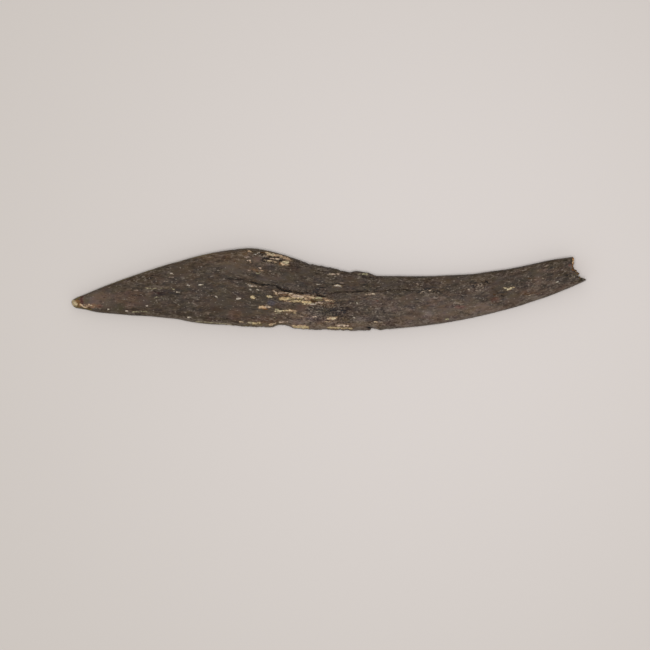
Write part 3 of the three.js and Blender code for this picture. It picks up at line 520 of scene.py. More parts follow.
# Faint small specks and scratches, all of one colour: from x, y to x, y. Pixels.
FAINT_MARKS = [
    (99.2, 308.3, 101.6, 308.4), (102.6, 302.4, 104, 302.6), (114, 301.2, 123.6, 301.6),
    (150.4, 306.6, 151.4, 306.6), (127.6, 297.4, 130.4, 297.6), (128, 305, 133, 305.6),
    (131.4, 306.4, 132.6, 307.4), (142.4, 296.4, 144.4, 296.6), (161.4, 281.6, 169.6, 281.8),
    (170, 277.4, 174.4, 277.6), (168.6, 303, 171.2, 303), (182.8, 292.6, 183.8, 292.8),
    (183.4, 296.2, 186.4, 297.8), (208.8, 304.6, 209, 306), (200.8, 313.6, 209.6, 313.8),
    (192.6, 261.4, 195, 261.6), (225.2, 298.4, 228, 298.8), (232, 297.6, 234, 297.4),
    (233.2, 307, 235, 307), (283, 271.2, 284.4, 271.4), (264.4, 283, 265.2, 283),
    (284, 280.3, 284.8, 280.5), (236, 276.6, 240.4, 277.6), (266, 286.6, 272, 286.6),
    (260.8, 290.3, 264.2, 290.4), (256, 315.8, 261.2, 316), (366, 324.6, 386, 324.7),
    (370, 322.6, 382, 321.9), (404, 290.8, 408, 291.4), (421.4, 292, 424.6, 291.6),
    (440.4, 285.6, 441.6, 287.6), (446.6, 288.2, 448.6, 288.6), (457, 297, 457.6, 299.6),
    (464.2, 278.4, 465, 280), (469, 290.6, 473.4, 291.6), (394.6, 303, 395, 306), (398.6, 312, 399, 316),
    (386, 309.6, 387.6, 310), (458, 309.6, 463.6, 311.6), (469.4, 317.6, 470.6, 317.8),
    (481.2, 283.8, 481.8, 284.6), (480.4, 290.2, 481.8, 290.4), (495.6, 296.4, 499.4, 297.6),
    (505.6, 281.6, 511, 282.4), (529.6, 279.9, 535.6, 279.7), (528, 296.2, 534, 293.4),
    (532, 298, 540, 294.6), (526, 299.6, 533, 297.8), (540, 293.6, 542, 293), (513.4, 279, 515, 279.4),
    (543, 267.4, 547.6, 265.4), (533, 273.6, 533.6, 276.4), (541.4, 278, 545, 279.4),
    (549, 287.6, 550.6, 287.2), (558, 279.6, 563, 277.6), (568.8, 278.2, 575, 276.4),
]


def smooth(low, high, value):
    """0 below low, 1 above high, and smooth between."""
    t = np.clip((value - low) / (high - low), 0, 1)
    return t * t * (3 - 2 * t)


def zone(x, start, full, fading, end):
    """1 inside a zone and 0 outside it, smooth at both ends."""
    return smooth(start, full, x) * (1 - smooth(fading, end, x))


def stretch(start, length, first, last, shares):
    """The points of one stretch of a profile, from its shares."""
    return [(start + along * length, first + way * (last - first)) for along, way in shares]


def read_table(rows, x):
    """Straight lines through a table's points, read at every x."""
    places, values = np.array(rows, dtype=float).T
    return np.interp(x, places, values)


def read_curve(points, x):
    """A smooth curve through points sorted along the barb, read at every x."""
    xs, ys = np.array(points, dtype=float).T
    before = np.maximum(np.arange(len(xs)) - 1, 0)
    after = np.minimum(np.arange(len(xs)) + 1, len(xs) - 1)
    slopes = (ys[after] - ys[before]) / (xs[after] - xs[before])
    i = np.clip(np.searchsorted(xs, x, side="right") - 1, 0, len(xs) - 2)
    step = xs[i + 1] - xs[i]
    t = np.clip((x - xs[i]) / step, 0, 1)
    ends = ys[i] * (2 * t**3 - 3 * t**2 + 1) + ys[i + 1] * (3 * t**2 - 2 * t**3)
    return ends + step * (slopes[i] * (t**3 - 2 * t**2 + t) + slopes[i + 1] * (t**3 - t**2))


WIDTHS = [
    (0, NIB_WIDTH),
    *stretch(0, SPUR_LENGTH, NIB_WIDTH, SPUR_WIDTH, SPUR_WIDTH_SHARES),
    *stretch(SPUR_LENGTH, SHOULDER_LENGTH, SPUR_WIDTH, STEM_WIDTH, SHOULDER_WIDTH_SHARES),
    *stretch(HOLLOW_AT, STEM_LENGTH, STEM_WIDTH, BREAK_WIDTH, STEM_WIDTH_SHARES),
]
RISES = [
    (0, 0),
    *stretch(0, SPUR_LENGTH, 0, HUMP_RISE, SPUR_RISE_SHARES),
    *stretch(SPUR_LENGTH, SHOULDER_LENGTH, HUMP_RISE, HOLLOW_RISE, SHOULDER_RISE_SHARES),
    *stretch(HOLLOW_AT, STEM_LENGTH, HOLLOW_RISE, BREAK_RISE, STEM_RISE_SHARES),
]
THICKNESSES = [
    (0, NIB_THICKNESS),
    *stretch(0, SPUR_LENGTH, NIB_THICKNESS, SPUR_THICKNESS, SPUR_THICKNESS_SHARES),
    *stretch(SPUR_LENGTH, SHOULDER_LENGTH, SPUR_THICKNESS, STEM_THICKNESS, EVEN_SHARES),
    *stretch(HOLLOW_AT, STEM_LENGTH, STEM_THICKNESS, BREAK_THICKNESS, EVEN_SHARES),
]


def nib_share(x):
    """How full the section is at x: it rounds off over the nib."""
    return np.sqrt(np.clip(1 - (1 - np.minimum(x / NIB_LENGTH, 1)) ** 2, 0, 1))


def lift_at(x):
    """How far the small bow of the barb lifts the inner face at x."""
    tip = np.maximum(0, 1 - x / TIP_BOW_LENGTH)
    stem = np.maximum(0, 1 - (LENGTH - x) / STEM_BOW_LENGTH)
    return TIP_LIFT * tip**2 + STEM_LIFT * stem**2


def edges_at(x):
    """The back and the lower edge at x, with the lip, the step and the bite."""
    middle = read_curve(RISES, x)
    half = read_curve(WIDTHS, x) / 2
    lip_end = SPUR_LENGTH + LIP_SHARE * SHOULDER_LENGTH
    lip_start = lip_end - LIP_LENGTH
    lip = zone(x, lip_start, lip_start + LIP_RISE_LENGTH, lip_end - LIP_END_LENGTH, lip_end)
    step_at = SPUR_LENGTH + STEP_SHARE * SHOULDER_LENGTH
    step = zone(x, step_at, step_at + STEP_FACE_LENGTH, step_at, step_at + STEP_LENGTH)
    bite = np.maximum(0, 1 - (2 * (x - SPUR_LENGTH - BITE_SHARE * SHOULDER_LENGTH) / BITE_LENGTH) ** 2)
    nib = nib_share(x)
    back = middle + NOSE_RISE + (half - NOSE_RISE) * nib + LIP_HEIGHT * lip
    belly = middle + NOSE_RISE - (half + NOSE_RISE) * nib + STEP_DEPTH * step + BITE_DEPTH * bite
    return back, belly


def on_section(x, across, height):
    """Points at x: across is -1 to 1 between the edges, height 0 on the inner face to 1 on the dome."""
    back, belly = edges_at(x)
    thickness = read_curve(THICKNESSES, x) * nib_share(x)
    edge = EDGE_SHARE * thickness
    dome = np.clip(1 - np.abs(across) ** DOME_POWER, 0, 1) ** (1 / DOME_POWER)
    sole = np.clip(1 - np.abs(across) ** FACE_POWER, 0, 1) ** (1 / FACE_POWER)
    top = edge + (thickness - edge) * dome
    under = np.maximum(0, edge - (edge + FACE_SINK * nib_share(x)) * sole)
    z = lift_at(x) + under + (top - under) * height
    return np.stack([x, (back + belly) / 2 + across * (back - belly) / 2, z], axis=-1)


def lattice(ix, iy, iz, seed):
    """A repeatable number from 0 to 1 for each corner of a unit grid."""
    with np.errstate(over="ignore"):
        h = ix.astype(np.uint32) * np.uint32(374761393) + iy.astype(np.uint32) * np.uint32(668265263)
        h = h + iz.astype(np.uint32) * np.uint32(2147483647) + np.uint32(seed) * np.uint32(1274126177)
        h = (h ^ (h >> np.uint32(13))) * np.uint32(1103515245)
        h = (h ^ (h >> np.uint32(16))) * np.uint32(2654435761)
        h = h ^ (h >> np.uint32(15))
    return h.astype(np.float64) / 4294967295.0


def noise(x, y, z, seed):
    """Smooth noise from -1 to 1."""
    x, y, z = np.broadcast_arrays(x, y, z)
    corners = [np.floor(place) for place in (x, y, z)]
    tx, ty, tz = (smooth(corner, corner + 1, place) for corner, place in zip(corners, (x, y, z)))
    ix, iy, iz = (corner.astype(np.int64) for corner in corners)
    total = np.zeros(x.shape)
    for dx in (0, 1):
        for dy in (0, 1):
            for dz in (0, 1):
                weight = (tx if dx else 1 - tx) * (ty if dy else 1 - ty) * (tz if dz else 1 - tz)
                total += weight * lattice(ix + dx, iy + dy, iz + dz, seed)
    return 2 * total - 1


def layered(x, y, z, seed, layers):
    """Several layers of noise, each finer and weaker than the one before, from -1 to 1."""
    total, reach = 0, 0.0
    for layer in range(layers):
        scale, size = 2.0**layer, 0.55**layer
        total = total + size * noise(x * scale, y * scale, z * scale, seed + layer)
        reach += size
    return total / reach


def stations():
    """Places along the barb: close together over the nib, then even up to the break."""
    nib = NIB_LENGTH * ((np.arange(NIB_STATIONS) + 1) / NIB_STATIONS) ** 2
    rest = STATIONS - NIB_STATIONS
    return np.concatenate([nib, NIB_LENGTH + (BREAK_AT - NIB_LENGTH) * (np.arange(rest) + 1) / rest])


def even_ring(x):
    """Places evenly round the section at x, from the middle of the inner face: (across, height)."""
    turn = np.linspace(0, math.pi, DENSE)
    ring = []
    for across, height, count in ((-np.cos(turn), 1.0, TOP_POINTS), (np.cos(turn), 0.0, UNDER_POINTS)):
        points = on_section(np.full(DENSE, x), across, height)
        run = np.concatenate([[0], np.cumsum(np.linalg.norm(np.diff(points, axis=0), axis=1))])
        spots = np.interp(np.linspace(0, run[-1], count + 1)[:-1], run, across)
        ring.append((spots, np.full(count, height)))
    across, height = np.concatenate(ring, axis=1)
    shift = TOP_POINTS + UNDER_POINTS // 2
    return np.roll(across, -shift), np.roll(height, -shift)


def fibre_end(across, height):
    """How far past the break the fibre at this place across the section ends."""
    end = SPLINTER_LENGTH * read_table(FIBRE_END_SHARES, across)
    slant = BREAK_SLANT * (0.5 - height) * (1 - np.abs(across))
    tear = 0
    for wide, high, reach, seed in TEAR_WAVES:
        tear = tear + reach * noise(across * wide, height * high, 0.0, seed)
    ragged = tear * (1 - 0.6 * np.abs(across) ** 6) * (1 - 0.65 * smooth(-0.05, 0.2, across))
    inside = smooth(0.0, 0.35, np.minimum(height, 1 - height)) * smooth(0.0, 0.25, 1 - np.abs(across))
    hollow = inside * (0.25 + 0.45 * np.abs(layered(across * 9, height * 5.0, 0.0, 304, 3)))
    return end + slant + ragged - hollow


def barb_grid():
    """Base points of the whole skin, station by station, then ring by ring over the broken end."""
    xs = stations()
    across, height = np.stack([even_ring(x) for x in xs], axis=1)
    late = smooth(BREAK_AT - 2 * SPLINTER_LENGTH, BREAK_AT, xs)[:, None]
    skin = on_section(xs[:, None] + late * fibre_end(across, height), across, height)
    inward = 1 - np.arange(1, END_RINGS)[:, None] / END_RINGS
    end_across = across[-1] * inward
    end_height = HEART_AT + (height[-1] - HEART_AT) * inward
    end = on_section(BREAK_AT + fibre_end(end_across, end_height), end_across, end_height)
    points = np.concatenate([skin, end])
    broken = np.zeros(points.shape[:2])
    broken[len(xs):] = 1
    return SimpleNamespace(
        points=points, broken=broken,
        across=np.concatenate([across, end_across]), height=np.concatenate([height, end_height]),
    )


def grid_normals(points):
    """The outward direction at every point of the grid."""
    along = np.gradient(points, axis=0)
    round_it = (np.roll(points, -1, axis=1) - np.roll(points, 1, axis=1)) / 2
    normals = np.cross(along, round_it)
    length = np.linalg.norm(normals, axis=-1, keepdims=True)
    return normals / np.maximum(length, 1e-9)


def mark_fields(px, py):
    """The marks' colour, how much they cover, how deep they lie, and the stain round the pale ones."""
    colour = np.zeros((*px.shape, 3))
    cover, depth, fringe = (np.zeros(px.shape) for _ in range(3))
    faint_marks = [(*ends, FAINT_HALF, FAINT_AMOUNT, DUSKY) for ends in FAINT_MARKS]
    for x0, y0, x1, y1, half, amount, tint, *deeper in faint_marks + MARKS:
        deep = deeper[0] if deeper else SHALLOW
        reach = half + MARK_MARGIN
        near = (px > min(x0, x1) - reach) & (px < max(x0, x1) + reach)
        near &= (py > min(y0, y1) - reach) & (py < max(y0, y1) + reach)
        away_x, away_y = px[near] - x0, py[near] - y0
        run = (x1 - x0) ** 2 + (y1 - y0) ** 2
        share = np.clip((away_x * (x1 - x0) + away_y * (y1 - y0)) / run, 0, 1)
        away = np.hypot(away_x - share * (x1 - x0), away_y - share * (y1 - y0))
        mask = 1 - smooth(half - MARK_EDGE, half + MARK_EDGE, away)
        laid = amount * mask
        total = laid + cover[near] * (1 - laid)
        colour[near] += (np.array(tint) - colour[near]) * (laid / np.maximum(total, 1e-6))[:, None]
        cover[near] = total
        depth[near] = np.maximum(depth[near], deep * DEPTH_UNIT * mask)
        if sum(tint) > PALE_SUM:
            halo = amount * smooth(*FRINGE_DEPTHS, deep) * (1 - smooth(half, half + FRINGE_REACH, away))
            fringe[near] = np.maximum(fringe[near], halo)
    return colour, cover, depth, fringe


def stain_and_light_field(px, py, rough):
    """The skin's colour at each place: every stain, and the painted light along the lower edge, laid over
    the plain skin.
    """
    colour = np.zeros((*px.shape, 3)) + np.array(SKIN)
    for x, y, half_x, half_y, amount, tint in STAINS_AND_EDGE_LIGHT:
        away = np.hypot((px - x) / half_x, (py - y) / half_y)
        mask = amount * (1 - smooth(0.45, 1.35, away + 0.45 * rough))
        colour += (np.array(tint) - colour) * mask[..., None]
    return colour


def plate_field(plates, px, py):
    """1 on the plates, and 0 away from them."""
    field = np.zeros(px.shape)
    for x, y, half_x, half_y in plates:
        field = np.maximum(field, 1 - smooth(0.6, 1.2, np.hypot((px - x) / half_x, (py - y) / half_y)))
    return field


def crack_field(px, py):
    """How open the crack is at each place."""
    xs, ys, halves = np.array(CRACK).T
    line = np.interp(px, xs, ys)
    half = np.interp(px, xs, halves, left=0, right=0)
    away = np.abs(py - line)
    gap = np.where((px > xs[0]) & (px < xs[-1]), 1 - smooth(half * 0.3, half * 1.2 + 0.3, away), 0)
    parted = smooth(-0.5, 0.15, layered(px * 0.22, 0.0, 0.0, 23, 2))
    return gap * np.clip(half / 0.7, 0.2, 1.4) * (0.6 + 0.4 * np.where(half > 0.75, 1, parted))


def skin_fields(grid):
    """Every field of the skin, at each point of the grid."""
    x, y, z = np.moveaxis(grid.points, -1, 0)
    px, py = PHOTO_TIP_X + x / PIXEL, PHOTO_BASE_Y - y / PIXEL
    grain_y = read_table(GRAIN_LINE, px)
    across_grain = y + (grain_y - PHOTO_BASE_Y) * PIXEL
    facing = grid_normals(grid.points)[..., 2]
    turning = facing + 0.16 * layered(px * 0.25, z * 1.4, 0.0, 15, 3)
    top = np.where(grid.broken > 0, smooth(0.5, 0.9, grid.height), smooth(0.0, 0.2, turning))
    back, belly = edges_at(x)

    ragged_x = px + 0.8 * noise(px * 0.2, (py - grain_y) * 1.3, z * 0.4, 11)
    ragged_x += 0.5 * noise(px * 0.7, py * 1.1, z * 0.4, 13)
    ragged_y = py + 0.4 * layered(px * 0.35, py * 0.7, z * 0.2, 12, 2)
    ragged_y += 0.35 * noise(px * 0.6, py * 1.2, z * 0.4, 14)
    tint, cover, depth, fringe = mark_fields(ragged_x, ragged_y)
    wobble = 0.35 * layered(px * 0.3, 0.0, 0.0, 21, 3)
    patchy = layered(x * 0.3, across_grain * 0.6, z * 0.6, 22, 3)
    relief_noises = {
        name: layered(x * along, across_grain * across, z * across, seed, layers)
        for name, (along, across, seed, layers) in RELIEF_NOISES.items()
    }
    holes = relief_noises.pop("holes")
    along, across, seed, layers = GRIT_NOISE
    return SimpleNamespace(
        px=px, py=py, grain=np.stack([x, across_grain, z], axis=-1),
        edge_gap=(1 - np.abs(grid.across)) * (back - belly) / 2,
        top=top, under=smooth(0.1, 0.6, -facing) * (1 - grid.broken),
        stain_and_light=stain_and_light_field(px, py, patchy), tint=tint, cover=cover * top,
        depth=depth * top, fringe=fringe * top, crack=crack_field(px, py + wobble) * top,
        pores=smooth(0.12, 0.5, holes),
        grit=layered(x * along, y * across, z * across, seed, layers), **relief_noises,
    )


def relief(grid, fields):
    """How far each point moves along its normal, in millimetres."""
    px, py = fields.px, fields.py
    move = (FIBRE_RELIEF + BODY_FIBRE_RELIEF * zone(px, *BODY_ZONE)) * fields.fibres
    move += THREAD_RELIEF * fields.threads + SWELL_RELIEF * fields.swell
    move += (GRIT_RELIEF + STEM_GRIT_RELIEF * smooth(*STEM_START, px)) * fields.grit
    move -= CRACK_DEPTH * fields.crack + fields.depth
    crumble = zone(px, *CRUMBLE_ZONE) * smooth(0.75, 0.95, grid.across)
    move += CRUMBLE_RELIEF * crumble * layered(px * 0.4, py * 0.4, 0.0, 41, 2)
    low_edge = zone(px, *LOW_EDGE_ZONE) * smooth(0.8, 0.96, -grid.across)
    move += LOW_EDGE_RELIEF * low_edge * layered(px * 0.3, py * 0.3, 0.0, 42, 3)
    move -= fields.under * (PORE_DEPTH * fields.pores + SCRAPE_RELIEF * fields.scrapes)
    return move * nib_share(grid.points[..., 0]) * (1 - grid.broken)


def place_skin(grid, fields):
    """The grid's points with the relief on, none of them lower than the inner face."""
    points = grid.points
    moved = points + grid_normals(points) * relief(grid, fields)[..., None]
    moved[..., 2] = np.maximum(moved[..., 2], np.minimum(lift_at(moved[..., 0]), points[..., 2]))
    return moved


def to_frame(points):
    """From millimetres along the barb to metres in the frame, set on the CAD solid's own box."""
    low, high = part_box("barb")
    back, belly = edges_at(np.linspace(0, LENGTH, 2000))
    shift_y = (low[1] + high[1]) / 2 - (back.max() + belly.min()) / 2 * MM
    return points * MM + np.array([low[0], shift_y, low[2]])


def bake_places(rows):
    """Each row's place along the bake: the broken end takes the last strip."""
    skin = np.linspace(UV_MARGIN_ALONG, 1 - END_STRIP, STATIONS)
    end = np.linspace(1 - END_STRIP, 1 - UV_MARGIN_ALONG, rows - STATIONS + 1)[1:]
    return np.concatenate([skin, end])


def pairs(u, v):
    """Places on the bake, one for each pair of u and v."""
    return np.stack(np.broadcast_arrays(u, v), axis=-1)


def build_barb():
    """The barb's mesh: quads over the whole skin and the broken end, and a fan at each of the two ends."""
    grid = barb_grid()
    fields = skin_fields(grid)
    points = place_skin(grid, fields)
    rows, count = points.shape[:2]
    nose = np.array([[0.0, NOSE_RISE, lift_at(0.0)]])
    heart_across, heart_height = np.array([0.0]), np.array([HEART_AT])
    heart = on_section(BREAK_AT + fibre_end(heart_across, heart_height), heart_across, heart_height)
    vertices = np.concatenate([points.reshape(-1, 3), nose, heart])
    nose_at, heart_at = rows * count, rows * count + 1

    row, column = np.meshgrid(np.arange(rows - 1), np.arange(count), indexing="ij")
    following = (column + 1) % count
    here, onward = row * count, (row + 1) * count
    corners = [here + column, onward + column, onward + following, here + following]
    quads = np.stack(corners, axis=-1).reshape(-1, 4)
    u, v = bake_places(rows), np.linspace(UV_MARGIN_ROUND, 1 - UV_MARGIN_ROUND, count + 1)
    quad_uv = np.stack([
        pairs(u[row], v[column]), pairs(u[row + 1], v[column]),
        pairs(u[row + 1], v[column + 1]), pairs(u[row], v[column + 1]),
    ], axis=-2)

    column = np.arange(count)
    following = (column + 1) % count
    last = (rows - 1) * count
    nose_fan = np.stack([np.full(count, nose_at), column, following], axis=-1)
    heart_fan = np.stack([np.full(count, heart_at), last + following, last + column], axis=-1)
    middle, before, after = (v[:-1] + v[1:]) / 2, v[:-1], v[1:]
    nose_uv = np.stack([pairs(0.0, middle), pairs(u[0], before), pairs(u[0], after)], axis=1)
    heart_uv = np.stack([pairs(1.0, middle), pairs(u[-1], after), pairs(u[-1], before)], axis=1)

    mesh = bpy.data.meshes.new("weathered_barb")
    faces = quads.tolist() + nose_fan.tolist() + heart_fan.tolist()
    mesh.from_pydata(to_frame(vertices).tolist(), [], faces)
    bake = mesh.uv_layers.new(name="OFBake")
    loops = np.concatenate([part.reshape(-1, 2) for part in (quad_uv, nose_uv, heart_uv)])
    bake.data.foreach_set("uv", loops.ravel())
    store_fields(mesh, grid, fields)
    mesh.shade_smooth()
    mesh.validate()
    mesh.update()
    barb = bpy.data.objects.new("weathered_barb", mesh)
    bpy.context.collection.objects.link(barb)
    return barb


def store(mesh, name, values, nose=0.0, heart=0.0):
    """A number at every vertex: the grid's, and then the nose's and the heart's."""
    layer = mesh.attributes.new(name, "FLOAT", "POINT")
    layer.data.foreach_set("value", np.concatenate([values.ravel(), [nose, heart]]).astype(np.float32))


def store_colour(mesh, name, colour, alpha, nose, heart):
    """A colour and its alpha at every vertex."""
    rows = np.concatenate([colour, alpha[..., None]], axis=-1).reshape(-1, 4)
    layer = mesh.attributes.new(name, "FLOAT_COLOR", "POINT")
    layer.data.foreach_set("color", np.concatenate([rows, [nose, heart]]).astype(np.float32).ravel())


def store_fields(mesh, grid, fields):
    """Stores the fields that the material reads."""
    px, across, gap = fields.px, grid.across, fields.edge_gap
    skin = 1 - grid.broken
    above = across > 0
    # Painted highlight: an olive rim along the back, and a weaker one along the lower edge.
    rim = 1 - smooth(0.05, 0.4, gap + 0.12 * fields.grit + 0.25 * fields.fibres)
    rim_share = np.where(above, zone(px, *HIGH_RIM_ZONE), LOW_RIM_AMOUNT * zone(px, *LOW_RIM_ZONE))
    # Painted light: the skin is painted paler along both edges, most along the lower one.
    edge_light_above = read_table(EDGE_LIGHT_ABOVE, px) * zone(gap, 0.15, 0.8, 0.9, 2.4)
    edge_light_below = read_table(EDGE_LIGHT_BELOW, px) * (1 - smooth(0.1, 1.5, gap))
    worn = np.where(above, edge_light_above, edge_light_below * (0.3 + 0.7 * fields.top)) * (1 - fields.under)
    calm = np.maximum(1 - smooth(*BLADE_START, px), plate_field(CALM_PLATES, px, fields.py))
    lively = plate_field(LIVELY_PLATES, px, fields.py)
    numbers = {
        "crack": np.clip(fields.crack, 0, 1),
        "rim": rim * rim_share * fields.top * skin,
        "worn": worn * skin,
        "fringe": fields.fringe,
        "lively": lively,
        "soft": read_table(SOFTNESS, px) * (1 - lively),
        "grainy": (read_table(GRAINY, px) + 0.3 * lively) * (1 - 0.7 * calm),
        "under": fields.under,
        "side": (1 - fields.top) * (1 - fields.under) * skin,
        "pores": fields.pores,
        "ember": grid.broken * smooth(0.5, 0.85, grid.height) * smooth(-0.05, 0.2, across),
    }
    for name, values in numbers.items():
        store(mesh, name, values)
    store(mesh, "calm", calm, nose=1.0)
    store(mesh, "stem", smooth(365, 430, px) * (1 - 0.6 * smooth(500, 540, px)), heart=1.0)
    store(mesh, "broken", grid.broken, heart=1.0)
    store_colour(mesh, "stain_and_light", fields.stain_and_light, np.ones(px.shape), (*YELLOW, 1), (*SKIN, 1))
    store_colour(mesh, "mark", fields.tint, np.clip(fields.cover, 0, 1), (*YELLOW, 1), (*TAWNY, 0))
    layer = mesh.attributes.new("grain", "FLOAT_VECTOR", "POINT")
    grain = np.concatenate([fields.grain.reshape(-1, 3), [[0, 0, 0], [LENGTH, 0, 0]]])
    layer.data.foreach_set("vector", grain.astype(np.float32).ravel())


# The noises of the material. Each row: waves in a millimetre along the grain and across it, shift,
# detail, roughness and distortion.
MATERIAL_NOISES = {
    "red_patch": (0.22, 0.5, 0.0, 2.0, 0.5, 0.5),
    "olive_patch": (0.3, 0.7, 7.0, 2.0, 0.5, 0.5),
    "cool_patch": (0.35, 0.8, 13.0, 2.0, 0.5, 0.5),
    "streak": (0.6, 2.2, 3.0, 2.0, 0.5, 0.9),
    "mottle": (0.9, 1.4, 5.0, 2.0, 0.5, 0.7),
    "broad": (0.35, 0.9, 29.0, 1.0, 0.5, 0.8),
    "grit": (1.6, 2.6, 11.0, 1.0, 0.5, 0.4),
    "pit": (0.9, 2.4, 17.0, 1.0, 0.5, 0.0),
    "crumb": (2.4, 4.0, 41.0, 2.0, 0.5, 0.0),
    "fibre": (0.7, 3.4, 53.0, 1.0, 0.5, 0.3),
    "blotch": (0.9, 1.8, 61.0, 2.0, 0.5, 0.6),
    "thread": (1.3, 7.0, 0.0, 3.0, 0.6, 0.0),
    "dust": (1.6, 2.8, 23.0, 1.0, 0.5, 0.0),
    "fleck": (1.1, 2.3, 67.0, 1.0, 0.5, 0.5),
    "split": (0.12, 1.0, 31.0, 2.0, 0.6, 0.0),
    "scratch": (0.5, 1.1, 43.0, 1.0, 0.5, 1.2),
    "gate": (0.3, 0.6, 37.0, 1.0, 0.5, 0.0),
    "scrape": (0.06, 4.5, 71.0, 3.0, 0.6, 0.0),
    "sponge": (1.1, 2.2, 83.0, 2.0, 0.5, 0.0),
    "cloud": (0.14, 0.3, 97.0, 2.0, 0.5, 0.0),
}

# The fields of the skin that the material reads as numbers.
NUMBER_FIELDS = [
    "crack", "rim", "worn", "fringe", "stem", "broken", "calm", "lively", "soft", "grainy", "under",
    "side", "pores", "ember",
]

# How the noises change the light of the skin, of its finest texture and of the bared bone. Each row:
# the noise, a low and a high value of it, and the light at those two.
SKIN_LIGHTS = [
    ("streak", 0.3, 0.7, 0.6, 1.2), ("mottle", 0.3, 0.7, 0.76, 1.2), ("broad", 0.36, 0.64, 0.86, 1.14),
]
FINE_LIGHTS = [
    ("grit", 0.3, 0.7, 0.82, 1.18), ("pit", 0.3, 0.4, 0.65, 1.0), ("thread", 0.35, 0.65, 0.9, 1.1),
]
BARED_LIGHTS = [("thread", 0.3, 0.7, 0.7, 1.05), ("crumb", 0.34, 0.6, 0.55, 1.05)]

# How strong the parts of the skin's light are, as shares of it.
SOFT_LIGHT = 0.97  # in place of the finest texture, where that is gone
SIDE_SCRAPES = 0.6  # on the sides, as a share of those on the inner face
SCRAPE_LIGHT = 0.26
LIVELY_CONTRAST = 0.5
CALM_EVENNESS = 0.7
UNDER_EVENNESS = 0.45
EVEN_LIGHT = 0.92
SPLIT_WIDTH = 0.022
SPLIT_LIGHT = -0.6
CURL_WIDTH = 0.02
CURL_LIGHT = 0.4

# How strong the parts of its colour are.
INNER_COVER = 0.85
STEM_SPECKS = 0.015
PORE_SHADE = 0.7
SPONGE_SHADE = 0.35
TORN_HIDDEN = 0.8  # the share of the torn bone that a mark on it hides
LIGHTNESS = (0.3, 0.5, 0.2)  # of red, green and blue in how light a mark is

# The surface's gloss and its finest bumps.
ROUGHNESS = (0.55, 0.75)
BARED_ROUGHNESS = 0.12
SPECULAR_LEVEL = 0.22
THREAD_BUMP = 0.45
GRIT_BUMP = 0.6
STREAK_BUMP = 0.5
BUMP_STRENGTH = 0.6
BUMP_DISTANCE = 0.12  # in millimetres

# How the nodes lie in the editor.
NODES_IN_ROW = 12
NODE_WIDTH = 200
NODE_HEIGHT = 260


class NodeTree:
    """Short calls for building one material's node tree."""

    def __init__(self, name):
        self.material = bpy.data.materials.new(name)
        self.material.use_nodes = True
        self.tree = self.material.node_tree
        self.tree.nodes.clear()

    def add(self, kind, **settings):
        node = self.tree.nodes.new(kind)
        row, column = divmod(len(self.tree.nodes), NODES_IN_ROW)
        node.location = (column * NODE_WIDTH, -row * NODE_HEIGHT)
        for key, value in settings.items():
            setattr(node, key, value)
        return node

    def put(self, socket, value):
        if isinstance(value, bpy.types.NodeSocket):
            self.tree.links.new(value, socket)
        elif socket.type == "RGBA":
            socket.default_value = (*value, 1.0)
        else:
            socket.default_value = value

    def make(self, kind, output, inputs, **settings):
        """One output of a new node, whose inputs are given by name or by number."""
        node = self.add(kind, **settings)
        for key, value in inputs.items():
            self.put(node.inputs[key], value)
        return node.outputs[output]

    def attribute(self, name, output="Fac"):
        return self.make("ShaderNodeAttribute", output, {}, attribute_name=name)

    def math(self, operation, a, b=0.0):
        return self.make("ShaderNodeMath", "Value", {0: a, 1: b}, operation=operation)

    def times(self, a, b):
        return self.math("MULTIPLY", a, b)

    def plus(self, a, b):
        return self.math("ADD", a, b)

    def lit(self, light, change):
        """The light, changed by a share of itself."""
        return self.times(light, self.plus(1.0, change))

    def vector(self, operation, a, b, output="Vector"):
        return self.make("ShaderNodeVectorMath", output, {0: a, 1: b}, operation=operation)

    def brighter(self, colour, factor):
        inputs = {0: colour, "Scale": factor}
        return self.make("ShaderNodeVectorMath", "Vector", inputs, operation="SCALE")

    def mix(self, factor, a, b, kind="RGBA"):
        inputs = {"Factor": factor, "A": a, "B": b}
        return self.make("ShaderNodeMix", "Result", inputs, data_type=kind)

    def range(self, value, low, high, out_low=0.0, out_high=1.0):
        """out_low where the value is low, out_high where it is high, and smooth between."""
        inputs = {"Value": value, "From Min": low, "From Max": high, "To Min": out_low, "To Max": out_high}
        return self.make("ShaderNodeMapRange", "Result", inputs, interpolation_type="SMOOTHSTEP")

    def product(self, waves, rows):
        """The lights of several noises, multiplied together."""
        light = 1.0
        for name, *limits in rows:
            light = self.times(light, self.range(getattr(waves, name), *limits))
        return light

    def thin_line(self, wave, width):
        """1 along the lines where a noise crosses its middle, and 0 away from them."""
        away = self.math("ABSOLUTE", self.math("SUBTRACT", wave, 0.5))
        return self.range(away, 0.0, width, 1.0, 0.0)

    def noise(self, place, along, across, shift, detail, roughness, distortion):
        """Noise that is drawn out along the grain. Most of it lies between 0.3 and 0.7."""
        inputs = {0: place, 1: (along, across, across), 2: (shift, shift, shift)}
        stretched = self.make("ShaderNodeVectorMath", "Vector", inputs, operation="MULTIPLY_ADD")
        inputs = {
            "Vector": stretched, "Scale": 1.0, "Detail": detail, "Roughness": roughness,
            "Distortion": distortion,
        }
        return self.make("ShaderNodeTexNoise", "Fac", inputs, noise_dimensions="3D")

    def surface(self, shader):
        """Ends the tree in the shader, and hands back the material."""
        output = self.add("ShaderNodeOutputMaterial")
        self.put(output.inputs["Surface"], shader)
        return self.material


